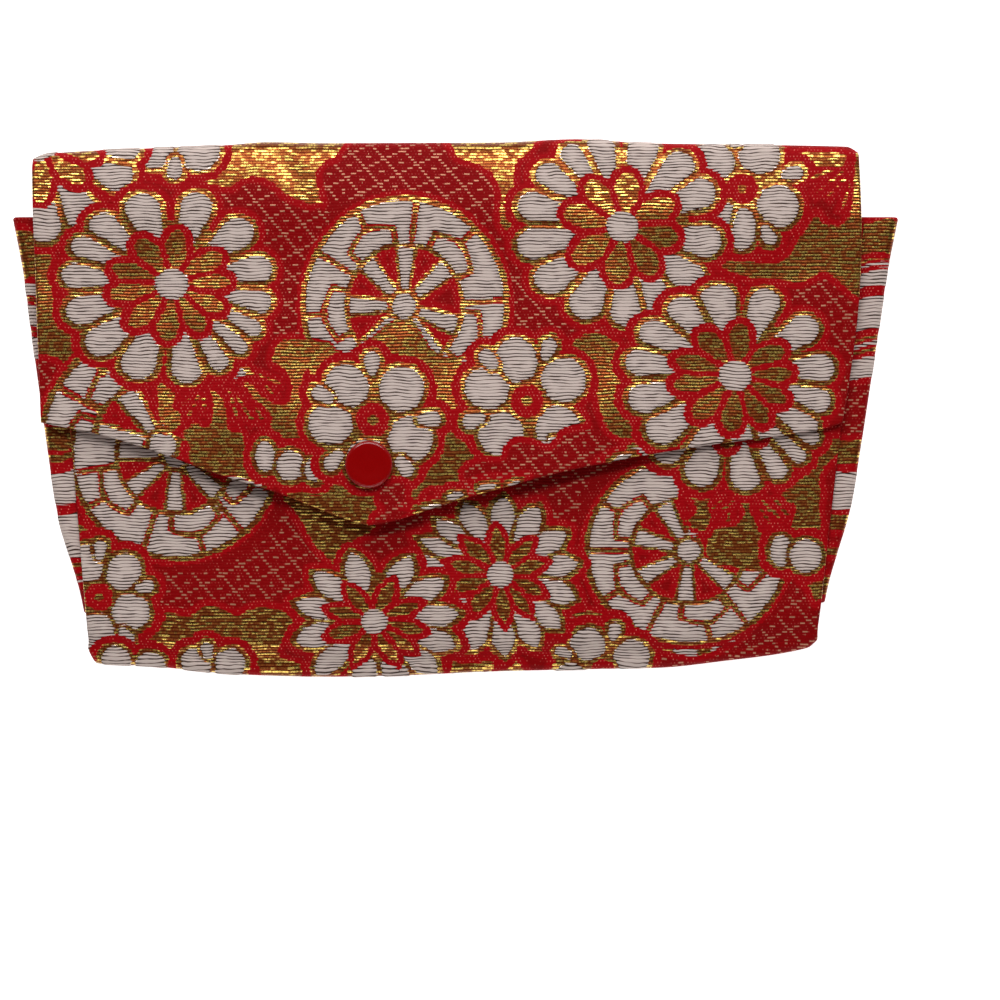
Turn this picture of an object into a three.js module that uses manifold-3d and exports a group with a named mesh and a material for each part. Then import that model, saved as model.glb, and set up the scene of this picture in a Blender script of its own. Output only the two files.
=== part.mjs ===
// A brocade jewellery pouch of the flat envelope kind, lying on its back with the flap snapped shut.
// One long strip of lined cloth makes the front, the bottom fold, the back, the top fold and the
// pointed flap. A folded gusset closes each side, and a press stud holds the flap near its tip.
// Millimetres. +X runs to the right, +Y towards the top fold and +Z up from the surface that it
// lies on. The origin is under the middle of the pouch, on that surface.

import * as THREE from "three";
import { mergeVertices } from "three/addons/utils/BufferGeometryUtils.js";
import Module from "manifold-3d";

const wasm = await Module();
wasm.setup();

// Cloth
const clothThickness = 1.0; // brocade with its backing
const layerGap = 0.3; // air between two layers that lie on each other

// The strip, seen from above
const pouchDepth = 115.6; // bottom fold to top fold
const panelDepth = 97.8; // bottom fold to the front panel's top edge, the mouth
const bottomWidth = 156.5;
const mouthWidth = 174;
const foldWidth = 177.3;
const flapWidth = 171.5; // across the flap's two corners
const flapSideDepth = 61; // top fold to the flap's corners
const flapTipDrop = 22; // the flap's corners to its tip
const tipPlace = 0.41; // the tip's share of the flap's width, from the left

// How far the middle of the strip stands to the right of the origin
const bottomShift = -0.5;
const mouthShift = 0.6;
const foldShift = -2.1;
const flapShift = -2.9;
const flapBow = 1.8; // how far the flap's right side bows out

// How uneven the two folds are
const bottomRise = 8; // from the lowest point of the bottom fold to its higher corner
const foldDip = 4.4; // from the highest point of the top fold to its lower corner

// Heights, when it lies empty
const bottomFoldRadius = 1.5; // to the middle of the cloth
const topFoldRadius = 2.6; // to the middle of the cloth
const frontCrown = 2.0; // how far the front stands up in its middle
const shoulder = 6; // how far above the bottom fold the front has come up to its own level
const flapEdgeLift = 1.5; // how far the free edge lifts between the stud and the corners

// Gussets
const gussetReachLeft = 8.7; // from the panel's edge to the gusset's fold, at the mouth
const gussetReachRight = 7.5;
const gussetSeam = 3; // how far each ply lies inside the panel's edge
const gussetGapBottom = 0.8; // between the two plies
const gussetGapMouth = 1.5;
const gussetTopShare = 1.01; // where the gusset's top edge lies, as a share of the panel's depth

// Press stud
const capRadius = 5.05;
const capThickness = 1.6;
const capBevel = 0.7;
const postRadius = 1.2;
const discRadius = 4.5; // the stud's flange, its back disc and the socket
const discThickness = 0.5;
const headRadius = 1.9;
const headHeight = 1.3;
const socketHeight = 1.8;
const studToTip = 13; // from the stud to the flap's tip
const padBlend = 9; // how far around the stud the cloth takes to leave its flat seat

// How finely the solids are faceted
const acrossSteps = 30;
const stripSteps = { front: 14, bottomFold: 6, back: 6, topFold: 7, flap: 12 };
const frontCrowding = 1.5; // above 1, the front's rows stand closer together towards the bottom fold
const gussetRows = 14;
const gussetPlySteps = 2;
const gussetFoldSteps = 6;
const roundSides = 32;
const holeSides = 16;

// The bottom fold's outline: how far it has risen at each share of the width, as a share of bottomRise.
const bottomOutline = [
  { across: 0, rise: 0.72 },
  { across: 0.012, rise: 0.36 },
  { across: 0.08, rise: 0.29 },
  { across: 0.21, rise: 0.06 },
  { across: 0.32, rise: 0 },
  { across: 0.42, rise: 0.03 },
  { across: 0.55, rise: 0.14 },
  { across: 0.7, rise: 0.21 },
  { across: 0.78, rise: 0.24 },
  { across: 0.87, rise: 0.42 },
  { across: 0.985, rise: 0.77 },
  { across: 1, rise: 1 },
];

// The top fold's outline: how far it dips, as a share of foldDip.
const foldOutline = [
  { across: 0, dip: 1 },
  { across: 0.02, dip: 0.7 },
  { across: 0.13, dip: 0.46 },
  { across: 0.23, dip: 0.3 },
  { across: 0.285, dip: 0.14 },
  { across: 0.35, dip: 0.19 },
  { across: 0.56, dip: 0.16 },
  { across: 0.66, dip: 0 },
  { across: 0.745, dip: 0.2 },
  { across: 0.85, dip: 0.26 },
  { across: 0.985, dip: 0.36 },
  { across: 1, dip: 0.68 },
];

// The flap's free edge on each side of its tip: its drop below the corner, as a share of
// flapTipDrop, against the share of the way from the corner to the tip.
const flapEdgeLeft = [
  { way: 0, drop: 0 },
  { way: 0.17, drop: 0.11 },
  { way: 0.34, drop: 0.27 },
  { way: 0.54, drop: 0.5 },
  { way: 0.71, drop: 0.67 },
  { way: 0.88, drop: 0.88 },
  { way: 0.96, drop: 0.97 },
  { way: 1, drop: 1 },
];
const flapEdgeRight = [
  { way: 0, drop: 0 },
  { way: 0.04, drop: 0.06 },
  { way: 0.3, drop: 0.23 },
  { way: 0.43, drop: 0.33 },
  { way: 0.6, drop: 0.49 },
  { way: 0.73, drop: 0.65 },
  { way: 0.83, drop: 0.78 },
  { way: 0.96, drop: 0.97 },
  { way: 1, drop: 1 },
];

// How the front swells from the bottom fold to the mouth, as a share of frontCrown.
const crownProfile = [
  { up: 0, swell: 0 },
  { up: 0.15, swell: 0.6 },
  { up: 0.35, swell: 0.92 },
  { up: 0.55, swell: 1 },
  { up: 0.8, swell: 0.9 },
  { up: 1, swell: 0.72 },
];

// How far the gusset's fold stands out, as a share of its reach at the mouth.
const gussetProfile = [
  { up: 0, reach: 0 },
  { up: 0.06, reach: 0.08 },
  { up: 0.14, reach: 0.25 },
  { up: 0.24, reach: 0.46 },
  { up: 0.42, reach: 0.6 },
  { up: 0.56, reach: 0.68 },
  { up: 0.7, reach: 0.76 },
  { up: 0.85, reach: 0.84 },
  { up: 1, reach: 1 },
];

const mix = THREE.MathUtils.lerp;
const smooth = (x) => THREE.MathUtils.smoothstep(x, 0, 1);

// A smooth function through a table's rows that never overshoots them.
function through(rows, key, value) {
  const last = rows.length - 1;
  const slopes = rows.slice(1).map((row, i) => (row[value] - rows[i][value]) / (row[key] - rows[i][key]));
  const tangents = rows.map((row, i) => {
    if (i === 0) return slopes[0];
    if (i === last) return slopes[last - 1];
    const product = slopes[i - 1] * slopes[i];
    return product <= 0 ? 0 : (2 * product) / (slopes[i - 1] + slopes[i]);
  });
  return (x) => {
    const at = THREE.MathUtils.clamp(x, rows[0][key], rows[last][key]);
    const i = Math.min(last - 1, Math.max(0, rows.findIndex((row) => row[key] >= at) - 1));
    const span = rows[i + 1][key] - rows[i][key];
    const t = (at - rows[i][key]) / span;
    const bend = t * (1 - t) * span;
    return (
      mix(rows[i][value], rows[i + 1][value], t * t * (3 - 2 * t)) +
      bend * ((1 - t) * tangents[i] - t * tangents[i + 1])
    );
  };
}

const bottomRiseAt = through(bottomOutline, "across", "rise");
const foldDipAt = through(foldOutline, "across", "dip");
const leftDropAt = through(flapEdgeLeft, "way", "drop");
const rightDropAt = through(flapEdgeRight, "way", "drop");
const swellAt = through(crownProfile, "up", "swell");
const reachAt = through(gussetProfile, "up", "reach");

// Levels of the middle of the cloth
const halfCloth = clothThickness / 2;
const backLevel = halfCloth;
const lowerPlyLevel = backLevel + clothThickness + layerGap;
const gussetGapAt = (up) => mix(gussetGapBottom, gussetGapMouth, THREE.MathUtils.clamp(up, 0, 1));
const upperPlyLevel = (up) => lowerPlyLevel + clothThickness + gussetGapAt(up);
const sideLevel = (up) => upperPlyLevel(up) + clothThickness + layerGap;
const bottomLevel = backLevel + 2 * bottomFoldRadius;
const studStack = clothThickness + 3 * layerGap + discThickness + socketHeight;

// Places in Y of the middle of the cloth
const bottomEnd = -pouchDepth / 2 + halfCloth;
const foldEnd = pouchDepth / 2 - halfCloth;
const mouthY = -pouchDepth / 2 + panelDepth;
const cornerY = pouchDepth / 2 - flapSideDepth;
const bottomY = (across) => bottomEnd + bottomRise * bottomRiseAt(across);
const foldY = (across) => foldEnd - foldDip * foldDipAt(across);
const bottomCentre = (across) => bottomY(across) + bottomFoldRadius;

// Drop of the flap's free edge below its corners, at a share of the flap's width.
function flapEdgeY(across) {
  const drop =
    across <= tipPlace
      ? leftDropAt(across / tipPlace)
      : rightDropAt((1 - across) / (1 - tipPlace));
  return cornerY - flapTipDrop * drop;
}

// X at a share across the strip, where it has this width and this shift.
const acrossX = (across, width, shift) => shift + width * (across - 0.5);

// X on the front or back panel, at a share up from the bottom fold to the panel's far end.
function panelX(across, up, endWidth, endShift) {
  return acrossX(across, mix(bottomWidth, endWidth, up), mix(bottomShift, endShift, up));
}

const studX = acrossX(tipPlace, flapWidth, flapShift);
const studY = cornerY - flapTipDrop + studToTip;

// 1 on the flat seat around the stud, falling to 0 where the cloth is free.
function seatShare(x, y) {
  const out = Math.hypot(x - studX, y - studY) - discRadius;
  return 1 - smooth(out / padBlend);
}

// Height of the front's cloth before its seat is flattened.
function freeFrontHeight(x, y) {
  const up = (y - bottomEnd) / (mouthY - bottomEnd);
  const middle = mix(bottomShift, mouthShift, up);
  const out = Math.min(1, Math.abs(x - middle) / (mix(bottomWidth, mouthWidth, up) / 2));
  const crown = frontCrown * (1 - out ** 2.4) * swellAt(up);
  const aboveFold = y - bottomCentre(THREE.MathUtils.clamp((x - bottomShift) / bottomWidth + 0.5, 0, 1));
  return mix(bottomLevel, sideLevel(up) + crown, smooth(aboveFold / shoulder));
}

const studFrontLevel = freeFrontHeight(studX, studY);

function frontHeight(x, y) {
  return mix(freeFrontHeight(x, y), studFrontLevel, seatShare(x, y));
}

// Height of the flap's cloth below the mouth: it lies over the front, stands off on the stud and
// lifts a little along its free edge on both sides of it.
function flapHeight(x, y) {
  const out = (x - studX) / (flapWidth / 2);
  const down = THREE.MathUtils.clamp((mouthY - y) / (mouthY - studY), 0, 1);
  const overStud = smooth(down) * Math.exp(-((1.7 * out) ** 2));
  const rest = clothThickness + 2 * layerGap;
  const lift = flapEdgeLift * down ** 2 * Math.sin(Math.PI * Math.min(1, Math.abs(out))) ** 2;
  const free = freeFrontHeight(x, Math.min(y, mouthY)) + mix(rest, studStack, overStud) + lift;
  return mix(free, studFrontLevel + studStack, seatShare(x, y));
}

// A point of the strip's mid-surface. along counts its five stretches: 0 to 1 is the front from the
// mouth down, then the bottom fold, the back, the top fold and the flap down to its free edge.
function stripPoint(across, along) {
  const stretch = Math.min(4, Math.floor(along));
  const t = along - stretch;
  const foldCentre = foldY(across) - topFoldRadius;
  if (stretch === 0) {
    const down = 1 - (1 - t) ** frontCrowding;
    const y = mix(mouthY, bottomCentre(across), down);
    const x = panelX(across, 1 - down, mouthWidth, mouthShift);
    return new THREE.Vector3(x, y, frontHeight(x, y));
  }
  if (stretch === 1) {
    const turn = Math.PI * t;
    const y = bottomCentre(across) - bottomFoldRadius * Math.sin(turn);
    const x = panelX(across, 0, mouthWidth, mouthShift);
    return new THREE.Vector3(x, y, backLevel + bottomFoldRadius * (1 + Math.cos(turn)));
  }
  if (stretch === 2) {
    const x = panelX(across, t, foldWidth, foldShift);
    return new THREE.Vector3(x, mix(bottomCentre(across), foldCentre, t), backLevel);
  }
  const mouthX = acrossX(across, mix(foldWidth, flapWidth, (foldEnd - mouthY) / flapSideDepth), foldShift);
  const mouthLevel = flapHeight(mouthX, mouthY);
  const rise = mouthLevel - backLevel - 2 * topFoldRadius;
  const slope = Math.atan2(2 * rise, foldCentre - mouthY);
  if (stretch === 3) {
    const turn = (Math.PI - slope) * t;
    const x = acrossX(across, foldWidth, foldShift);
    return new THREE.Vector3(
      x,
      foldCentre + topFoldRadius * Math.sin(turn),
      backLevel + topFoldRadius * (1 - Math.cos(turn)),
    );
  }
  const startY = foldCentre + topFoldRadius * Math.sin(Math.PI - slope);
  const startLevel = backLevel + topFoldRadius * (1 - Math.cos(Math.PI - slope));
  const y = mix(startY, flapEdgeY(across), t);
  const bow = flapBow * Math.sin(Math.PI * t) * across;
  const x = bow + acrossX(across, mix(foldWidth, flapWidth, t), mix(foldShift, flapShift, t));
  if (y < mouthY) return new THREE.Vector3(x, y, flapHeight(x, y));
  const toMouth = (startY - y) / (startY - mouthY);
  return new THREE.Vector3(x, y, mix(startLevel, mouthLevel, 1 - (1 - toMouth) ** 2));
}

// A closed solid, clothThickness thick, around a surface pointAt(i, j) of two whole-number steps
// that may also be asked in between.
function clothSolid(pointAt, iCount, jCount) {
  const nudge = 0.02;
  const skin = (side) => {
    const points = [];
    for (let i = 0; i <= iCount; i++) {
      for (let j = 0; j <= jCount; j++) {
        const alongI = pointAt(Math.min(iCount, i + nudge), j).sub(pointAt(Math.max(0, i - nudge), j));
        const alongJ = pointAt(i, Math.min(jCount, j + nudge)).sub(pointAt(i, Math.max(0, j - nudge)));
        const normal = alongI.cross(alongJ).normalize();
        points.push(pointAt(i, j).addScaledVector(normal, side * halfCloth));
      }
    }
    return points;
  };
  const points = [...skin(1), ...skin(-1)];
  const at = (layer, i, j) => (layer * (iCount + 1) + i) * (jCount + 1) + j;
  const triangles = [];
  const quad = (a, b, c, d) => triangles.push(a, b, c, a, c, d);
  for (let i = 0; i < iCount; i++) {
    for (let j = 0; j < jCount; j++) {
      quad(at(0, i, j), at(0, i + 1, j), at(0, i + 1, j + 1), at(0, i, j + 1));
      quad(at(1, i, j), at(1, i, j + 1), at(1, i + 1, j + 1), at(1, i + 1, j));
    }
    quad(at(0, i + 1, 0), at(0, i, 0), at(1, i, 0), at(1, i + 1, 0));
    quad(at(0, i, jCount), at(0, i + 1, jCount), at(1, i + 1, jCount), at(1, i, jCount));
  }
  for (let j = 0; j < jCount; j++) {
    quad(at(0, 0, j), at(0, 0, j + 1), at(1, 0, j + 1), at(1, 0, j));
    quad(at(0, iCount, j + 1), at(0, iCount, j), at(1, iCount, j), at(1, iCount, j + 1));
  }
  return new THREE.BufferGeometry().setFromPoints(points).setIndex(triangles);
}

function toManifold(geometry) {
  const bare = geometry.clone();
  bare.deleteAttribute("normal");
  bare.deleteAttribute("uv");
  const merged = mergeVertices(bare, 1e-4);
  return new wasm.Manifold(
    new wasm.Mesh({
      numProp: 3,
      vertProperties: Float32Array.from(merged.attributes.position.array),
      triVerts: Uint32Array.from(merged.index.array),
    }),
  );
}

function toGeometry(solid) {
  const { vertProperties, triVerts } = solid.getMesh();
  const geometry = new THREE.BufferGeometry();
  geometry.setAttribute("position", new THREE.BufferAttribute(vertProperties, 3));
  geometry.setIndex(new THREE.BufferAttribute(triVerts, 1));
  return geometry;
}

// The strip, with a hole for the stud through the front and one through the flap.
function bodyAndFlap() {
  const steps = Object.values(stripSteps);
  const starts = steps.map((_, k) => steps.slice(0, k).reduce((sum, n) => sum + n, 0));
  const total = steps.reduce((sum, n) => sum + n, 0);
  const alongOf = (j) => {
    const k = Math.max(0, starts.findLastIndex((start) => start <= j));
    return k + (j - starts[k]) / steps[k];
  };
  // Columns stand closer together towards the sides, where the corners are rounded.
  const acrossOf = (i) => mix(i / acrossSteps, (1 - Math.cos((Math.PI * i) / acrossSteps)) / 2, 0.7);
  const cloth = clothSolid((i, j) => stripPoint(acrossOf(i), alongOf(j)), acrossSteps, total);
  const holeRadius = postRadius + layerGap;
  const holeDepth = studStack + 3 * clothThickness;
  const hole = new THREE.CylinderGeometry(holeRadius, holeRadius, holeDepth, holeSides);
  hole.rotateX(Math.PI / 2);
  hole.translate(studX, studY, studFrontLevel + studStack / 2);
  return toGeometry(toManifold(cloth).subtract(toManifold(hole)));
}

// A gusset: two plies between the panels, joined by a fold that stands out past their edges.
// side is -1 on the left and 1 on the right.
function gusset(side, reach) {
  const pathSteps = 2 * gussetPlySteps + gussetFoldSteps;
  const panelSide = (1 + side) / 2;
  const start = (bottomCentre(panelSide) + shoulder - bottomEnd) / (mouthY - bottomEnd);
  const pointAt = (i, j) => {
    const opened = i / gussetRows;
    const up = mix(start, gussetTopShare, opened);
    const edge = panelX(panelSide, up, mouthWidth, mouthShift);
    const upper = upperPlyLevel(up);
    const radius = (upper - lowerPlyLevel) / 2;
    const inner = edge - side * gussetSeam;
    const outer = edge + side * (reach * reachAt(opened) - radius - halfCloth);
    const y = mix(bottomEnd, mouthY, up);
    if (j <= gussetPlySteps) return new THREE.Vector3(mix(inner, outer, j / gussetPlySteps), y, lowerPlyLevel);
    if (j >= gussetPlySteps + gussetFoldSteps) {
      const back = (j - gussetPlySteps - gussetFoldSteps) / gussetPlySteps;
      return new THREE.Vector3(mix(outer, inner, back), y, upper);
    }
    const turn = (Math.PI * (j - gussetPlySteps)) / gussetFoldSteps;
    const x = outer + side * radius * Math.sin(turn);
    return new THREE.Vector3(x, y, lowerPlyLevel + radius * (1 - Math.cos(turn)));
  };
  const outwards = side > 0 ? pointAt : (i, j) => pointAt(i, pathSteps - j);
  return clothSolid(outwards, gussetRows, pathSteps);
}

// A turned piece from a profile of [radius, height] pairs, from its top on the axis to its foot.
function turned(profile) {
  const points = profile.map(([radius, height]) => new THREE.Vector2(radius, height)).reverse();
  return new THREE.LatheGeometry(points, roundSides).rotateX(Math.PI / 2);
}

// The cap with its post and the socket under the flap. Height 0 is the middle of the flap's cloth.
function snapCap() {
  const seat = halfCloth + layerGap;
  const top = seat + capThickness;
  const foot = -seat - socketHeight;
  const recess = headRadius + layerGap;
  const roof = foot + headHeight;
  const bevel = [0, 1, 2, 3].map((k) => {
    const turn = (k * Math.PI) / 6;
    return [capRadius - capBevel * (1 - Math.sin(turn)), top - capBevel * (1 - Math.cos(turn))];
  });
  return turned([
    [0, top],
    ...bevel,
    [capRadius, seat],
    [postRadius, seat],
    [postRadius, -seat],
    [discRadius, -seat],
    [discRadius, foot],
    [recess, foot],
    [recess, roof],
    [0, roof],
  ]);
}

// The stud on the front, with its flange and its back disc. Height 0 is the middle of the front's cloth.
function snapStud() {
  const seat = halfCloth + layerGap;
  const flange = seat + discThickness;
  const head = flange + headHeight;
  return turned([
    [0, head],
    [0.85 * headRadius, head],
    [headRadius, mix(flange, head, 0.7)],
    [0.85 * headRadius, flange],
    [discRadius, flange],
    [discRadius, seat],
    [postRadius, seat],
    [postRadius, -seat],
    [discRadius, -seat],
    [discRadius, -flange],
    [0, -flange],
  ]);
}

const brocade = new THREE.MeshStandardMaterial({ color: 0x9c2a1c, roughness: 0.6, metalness: 0.2 });
const redPlastic = new THREE.MeshStandardMaterial({ color: 0x9c0008, roughness: 0.25, metalness: 0 });

function named(name, geometry, material) {
  const mesh = new THREE.Mesh(geometry, material);
  mesh.name = name;
  return mesh;
}

const pouch = new THREE.Group();
pouch.add(named("body_and_flap", bodyAndFlap(), brocade));
pouch.add(named("gusset_left", gusset(-1, gussetReachLeft), brocade));
pouch.add(named("gusset_right", gusset(1, gussetReachRight), brocade));

const cap = named("snap_cap", snapCap(), redPlastic);
cap.position.set(studX, studY, studFrontLevel + studStack);
const stud = named("snap_stud", snapStud(), redPlastic);
stud.position.set(studX, studY, studFrontLevel);
pouch.add(cap, stud);

export default pouch;
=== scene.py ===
# A jewellery pouch of red, gold and white figured brocade, lying on its back with the flap snapped shut.
# The cloth is one strip and two side gussets, each worked out as a surface on a grid in millimetres.
# The woven figures are painted on the grid's points as fields of signed distance, and the material
# turns those fields into threads.
import math

import bpy
import numpy as np
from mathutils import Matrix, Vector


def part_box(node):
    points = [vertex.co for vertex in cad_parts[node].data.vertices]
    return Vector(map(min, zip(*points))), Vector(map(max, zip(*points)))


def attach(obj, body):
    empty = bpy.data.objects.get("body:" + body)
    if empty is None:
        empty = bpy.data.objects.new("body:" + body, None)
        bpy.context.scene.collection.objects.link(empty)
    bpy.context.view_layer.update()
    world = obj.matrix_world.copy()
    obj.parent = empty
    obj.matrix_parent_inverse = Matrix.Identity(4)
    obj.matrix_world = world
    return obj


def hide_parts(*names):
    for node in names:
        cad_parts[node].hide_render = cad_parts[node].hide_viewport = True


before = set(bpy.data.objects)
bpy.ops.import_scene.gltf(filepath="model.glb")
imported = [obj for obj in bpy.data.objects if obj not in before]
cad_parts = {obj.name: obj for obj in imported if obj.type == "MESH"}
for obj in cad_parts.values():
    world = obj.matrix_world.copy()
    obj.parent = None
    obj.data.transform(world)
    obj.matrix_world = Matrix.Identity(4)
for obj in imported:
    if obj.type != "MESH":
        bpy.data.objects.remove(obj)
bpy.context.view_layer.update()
mm = 0.001
far = 99.0  # millimetres, stands for nowhere near
print("frame loaded")

# Where the photograph shows the pouch: its pixels, and the millimetres that one of them covers at the
# level of the face. The camera looks straight down on the middle of the photograph.
photo = {
    "size": 1000,
    "centreX": 455.5,
    "centreY": 408.0,
    "mmPerPixel": 190 / 885,
    "height": 900.0,  # of the camera, in millimetres
    "face": 4.0,  # height of the pouch's face, in millimetres
}
cameraX = (photo["size"] / 2 - photo["centreX"]) * photo["mmPerPixel"]
cameraY = (photo["centreY"] - photo["size"] / 2) * photo["mmPerPixel"]

# The cloth's shape, in millimetres and as the solids have it
pouch = {
    "thickness": 1.0,
    "layerGap": 0.3,
    "depth": 115.6,
    "panelDepth": 97.8,
    "bottomWidth": 156.5,
    "mouthWidth": 174,
    "foldWidth": 177.3,
    "flapWidth": 171.5,
    "flapSideDepth": 61,
    "flapTipDrop": 22,
    "tipPlace": 0.41,
    "bottomShift": -0.5,
    "mouthShift": 0.6,
    "foldShift": -2.1,
    "flapShift": -2.9,
    "flapBow": 1.8,
    "bottomRise": 8,
    "foldDip": 4.4,
    "bottomFoldRadius": 1.5,
    "topFoldRadius": 2.6,
    "frontCrown": 2.0,
    "shoulder": 6,
    "flapEdgeLift": 1.5,
    "gussetReach": {-1: 8.7, 1: 7.5},
    "gussetSeam": 3,
    "gussetGapBottom": 0.8,
    "gussetGapMouth": 1.5,
    "gussetTopShare": 1.01,
    "studStack": 3.2,  # 0.5 flange, 1.8 socket and 0.9 air, less what the cloth takes
    "discRadius": 4.5,
    "padBlend": 9,
    "floatHeight": 0.2,  # of the white floats over the ground
    "gussetFloatHeight": 0.1,
}
# Share across against share of bottomRise, then of foldDip
bottomOutline = [(0, 0.72), (0.012, 0.36), (0.08, 0.29), (0.21, 0.06), (0.32, 0), (0.42, 0.03)]
bottomOutline += [(0.55, 0.14), (0.7, 0.21), (0.78, 0.24), (0.87, 0.42), (0.985, 0.77), (1, 1)]
foldOutline = [(0, 1), (0.02, 0.7), (0.13, 0.46), (0.23, 0.3), (0.285, 0.14), (0.35, 0.19)]
foldOutline += [(0.56, 0.16), (0.66, 0), (0.745, 0.2), (0.85, 0.26), (0.985, 0.36), (1, 0.68)]
# Share of the way from the flap's corner to its tip against share of flapTipDrop
flapEdgeLeft = [(0, 0), (0.17, 0.11), (0.34, 0.27), (0.54, 0.5), (0.71, 0.67), (0.88, 0.88)]
flapEdgeLeft += [(0.96, 0.97), (1, 1)]
flapEdgeRight = [(0, 0), (0.04, 0.06), (0.3, 0.23), (0.43, 0.33), (0.6, 0.49), (0.73, 0.65)]
flapEdgeRight += [(0.83, 0.78), (0.96, 0.97), (1, 1)]
# Share up the panel against share of frontCrown, then of the gusset's reach
crownProfile = [(0, 0), (0.15, 0.6), (0.35, 0.92), (0.55, 1), (0.8, 0.9), (1, 0.72)]
gussetProfile = [(0, 0), (0.06, 0.08), (0.14, 0.25), (0.24, 0.46), (0.42, 0.6), (0.56, 0.68)]
gussetProfile += [(0.7, 0.76), (0.85, 0.84), (1, 1)]


def mix(a, b, share):
    # a plus that share of the way to b
    return a + (b - a) * share


def smooth(x):
    # 0 below 0, 1 above 1, and three squares less two cubes between
    x = np.clip(x, 0, 1)
    return x * x * (3 - 2 * x)


def through(rows):
    # a cubic through the rows whose slope at each is the harmonic mean of its neighbours' slopes
    xs, ys = np.array(rows, float).T
    slopes = np.diff(ys) / np.diff(xs)
    product = slopes[:-1] * slopes[1:]
    total = np.where(product > 0, slopes[:-1] + slopes[1:], 1)
    tangents = np.concatenate([slopes[:1], np.where(product > 0, 2 * product / total, 0), slopes[-1:]])

    def value(x):
        x = np.clip(x, xs[0], xs[-1])
        i = np.clip(np.searchsorted(xs, x, side="right") - 1, 0, len(xs) - 2)
        span = xs[i + 1] - xs[i]
        t = (x - xs[i]) / span
        bend = t * (1 - t) * span * ((1 - t) * tangents[i] - t * tangents[i + 1])
        return mix(ys[i], ys[i + 1], t * t * (3 - 2 * t)) + bend

    return value


bottomRiseAt = through(bottomOutline)
foldDipAt = through(foldOutline)
leftDropAt = through(flapEdgeLeft)
rightDropAt = through(flapEdgeRight)
swellAt = through(crownProfile)
reachAt = through(gussetProfile)

half = pouch["thickness"] / 2
backLevel = half
lowerPlyLevel = backLevel + pouch["thickness"] + pouch["layerGap"]
bottomLevel = backLevel + 2 * pouch["bottomFoldRadius"]
studStack = pouch["studStack"] + pouch["thickness"]
bottomEnd = -pouch["depth"] / 2 + half
foldEnd = pouch["depth"] / 2 - half
mouthY = -pouch["depth"] / 2 + pouch["panelDepth"]
cornerY = pouch["depth"] / 2 - pouch["flapSideDepth"]
capLow, capHigh = (np.array(corner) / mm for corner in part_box("snap_cap"))
studX, studY = ((capLow + capHigh) / 2)[:2]


def bottomCentre(across):
    # height in Y of the bottom fold's axis
    return bottomEnd + pouch["bottomRise"] * bottomRiseAt(across) + pouch["bottomFoldRadius"]


def foldCentre(across):
    # height in Y of the top fold's axis
    return foldEnd - pouch["foldDip"] * foldDipAt(across) - pouch["topFoldRadius"]


def flapEdgeY(across):
    # the free edge drops from each corner to the tip as its table says
    tip = pouch["tipPlace"]
    drop = np.where(across <= tip, leftDropAt(across / tip), rightDropAt((1 - across) / (1 - tip)))
    return cornerY - pouch["flapTipDrop"] * drop


def upperPlyLevel(up):
    # the gusset's upper ply lies on its lower one with a gap that widens evenly towards the mouth
    gap = mix(pouch["gussetGapBottom"], pouch["gussetGapMouth"], np.clip(up, 0, 1))
    return lowerPlyLevel + pouch["thickness"] + gap


def panelX(across, up, width, shift):
    # straight sides from the bottom fold to the panel's far end
    middle = mix(pouch["bottomShift"], shift, up)
    return middle + mix(pouch["bottomWidth"], width, up) * (across - 0.5)


def seatShare(x, y):
    # 1 on the flat seat around the stud, 0 where the cloth is free
    return 1 - smooth((np.hypot(x - studX, y - studY) - pouch["discRadius"]) / pouch["padBlend"])


def freeFrontHeight(x, y):
    # the front lies on the gussets at its sides and swells by a power of the distance from its middle
    up = (y - bottomEnd) / (mouthY - bottomEnd)
    middle = mix(pouch["bottomShift"], pouch["mouthShift"], up)
    out = np.minimum(1, np.abs(x - middle) / (mix(pouch["bottomWidth"], pouch["mouthWidth"], up) / 2))
    crown = pouch["frontCrown"] * (1 - out**2.4) * swellAt(up)
    across = np.clip((x - pouch["bottomShift"]) / pouch["bottomWidth"] + 0.5, 0, 1)
    sideLevel = upperPlyLevel(up) + pouch["thickness"] + pouch["layerGap"]
    rise = smooth((y - bottomCentre(across)) / pouch["shoulder"])
    return mix(bottomLevel, sideLevel + crown, rise)


studFrontLevel = float(freeFrontHeight(studX, studY))


def flapHeight(x, y):
    # the flap lies over the front, stands off on the stud and lifts along its free edge
    out = (x - studX) / (pouch["flapWidth"] / 2)
    down = np.clip((mouthY - y) / (mouthY - studY), 0, 1)
    overStud = smooth(down) * np.exp(-((1.7 * out) ** 2))
    rest = pouch["thickness"] + 2 * pouch["layerGap"]
    lift = pouch["flapEdgeLift"] * down**2 * np.sin(math.pi * np.minimum(1, np.abs(out))) ** 2
    free = freeFrontHeight(x, np.minimum(y, mouthY)) + mix(rest, studStack, overStud) + lift
    return mix(free, studFrontLevel + studStack, seatShare(x, y))


def frontPart(across, t):
    # from the mouth down to the bottom fold
    y = mix(mouthY, bottomCentre(across), t)
    x = panelX(across, 1 - t, pouch["mouthWidth"], pouch["mouthShift"])
    return x, y, mix(freeFrontHeight(x, y), studFrontLevel, seatShare(x, y))


def bottomPart(across, t):
    # half a turn round the bottom fold
    radius = pouch["bottomFoldRadius"]
    x = panelX(across, 0 * t, pouch["mouthWidth"], pouch["mouthShift"])
    y = bottomCentre(across) - radius * np.sin(math.pi * t)
    return x, y, backLevel + radius * (1 + np.cos(math.pi * t))


def backPart(across, t):
    # flat, from the bottom fold to the top fold
    x = panelX(across, t, pouch["foldWidth"], pouch["foldShift"])
    return x, mix(bottomCentre(across), foldCentre(across), t), backLevel + 0 * x


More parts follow.
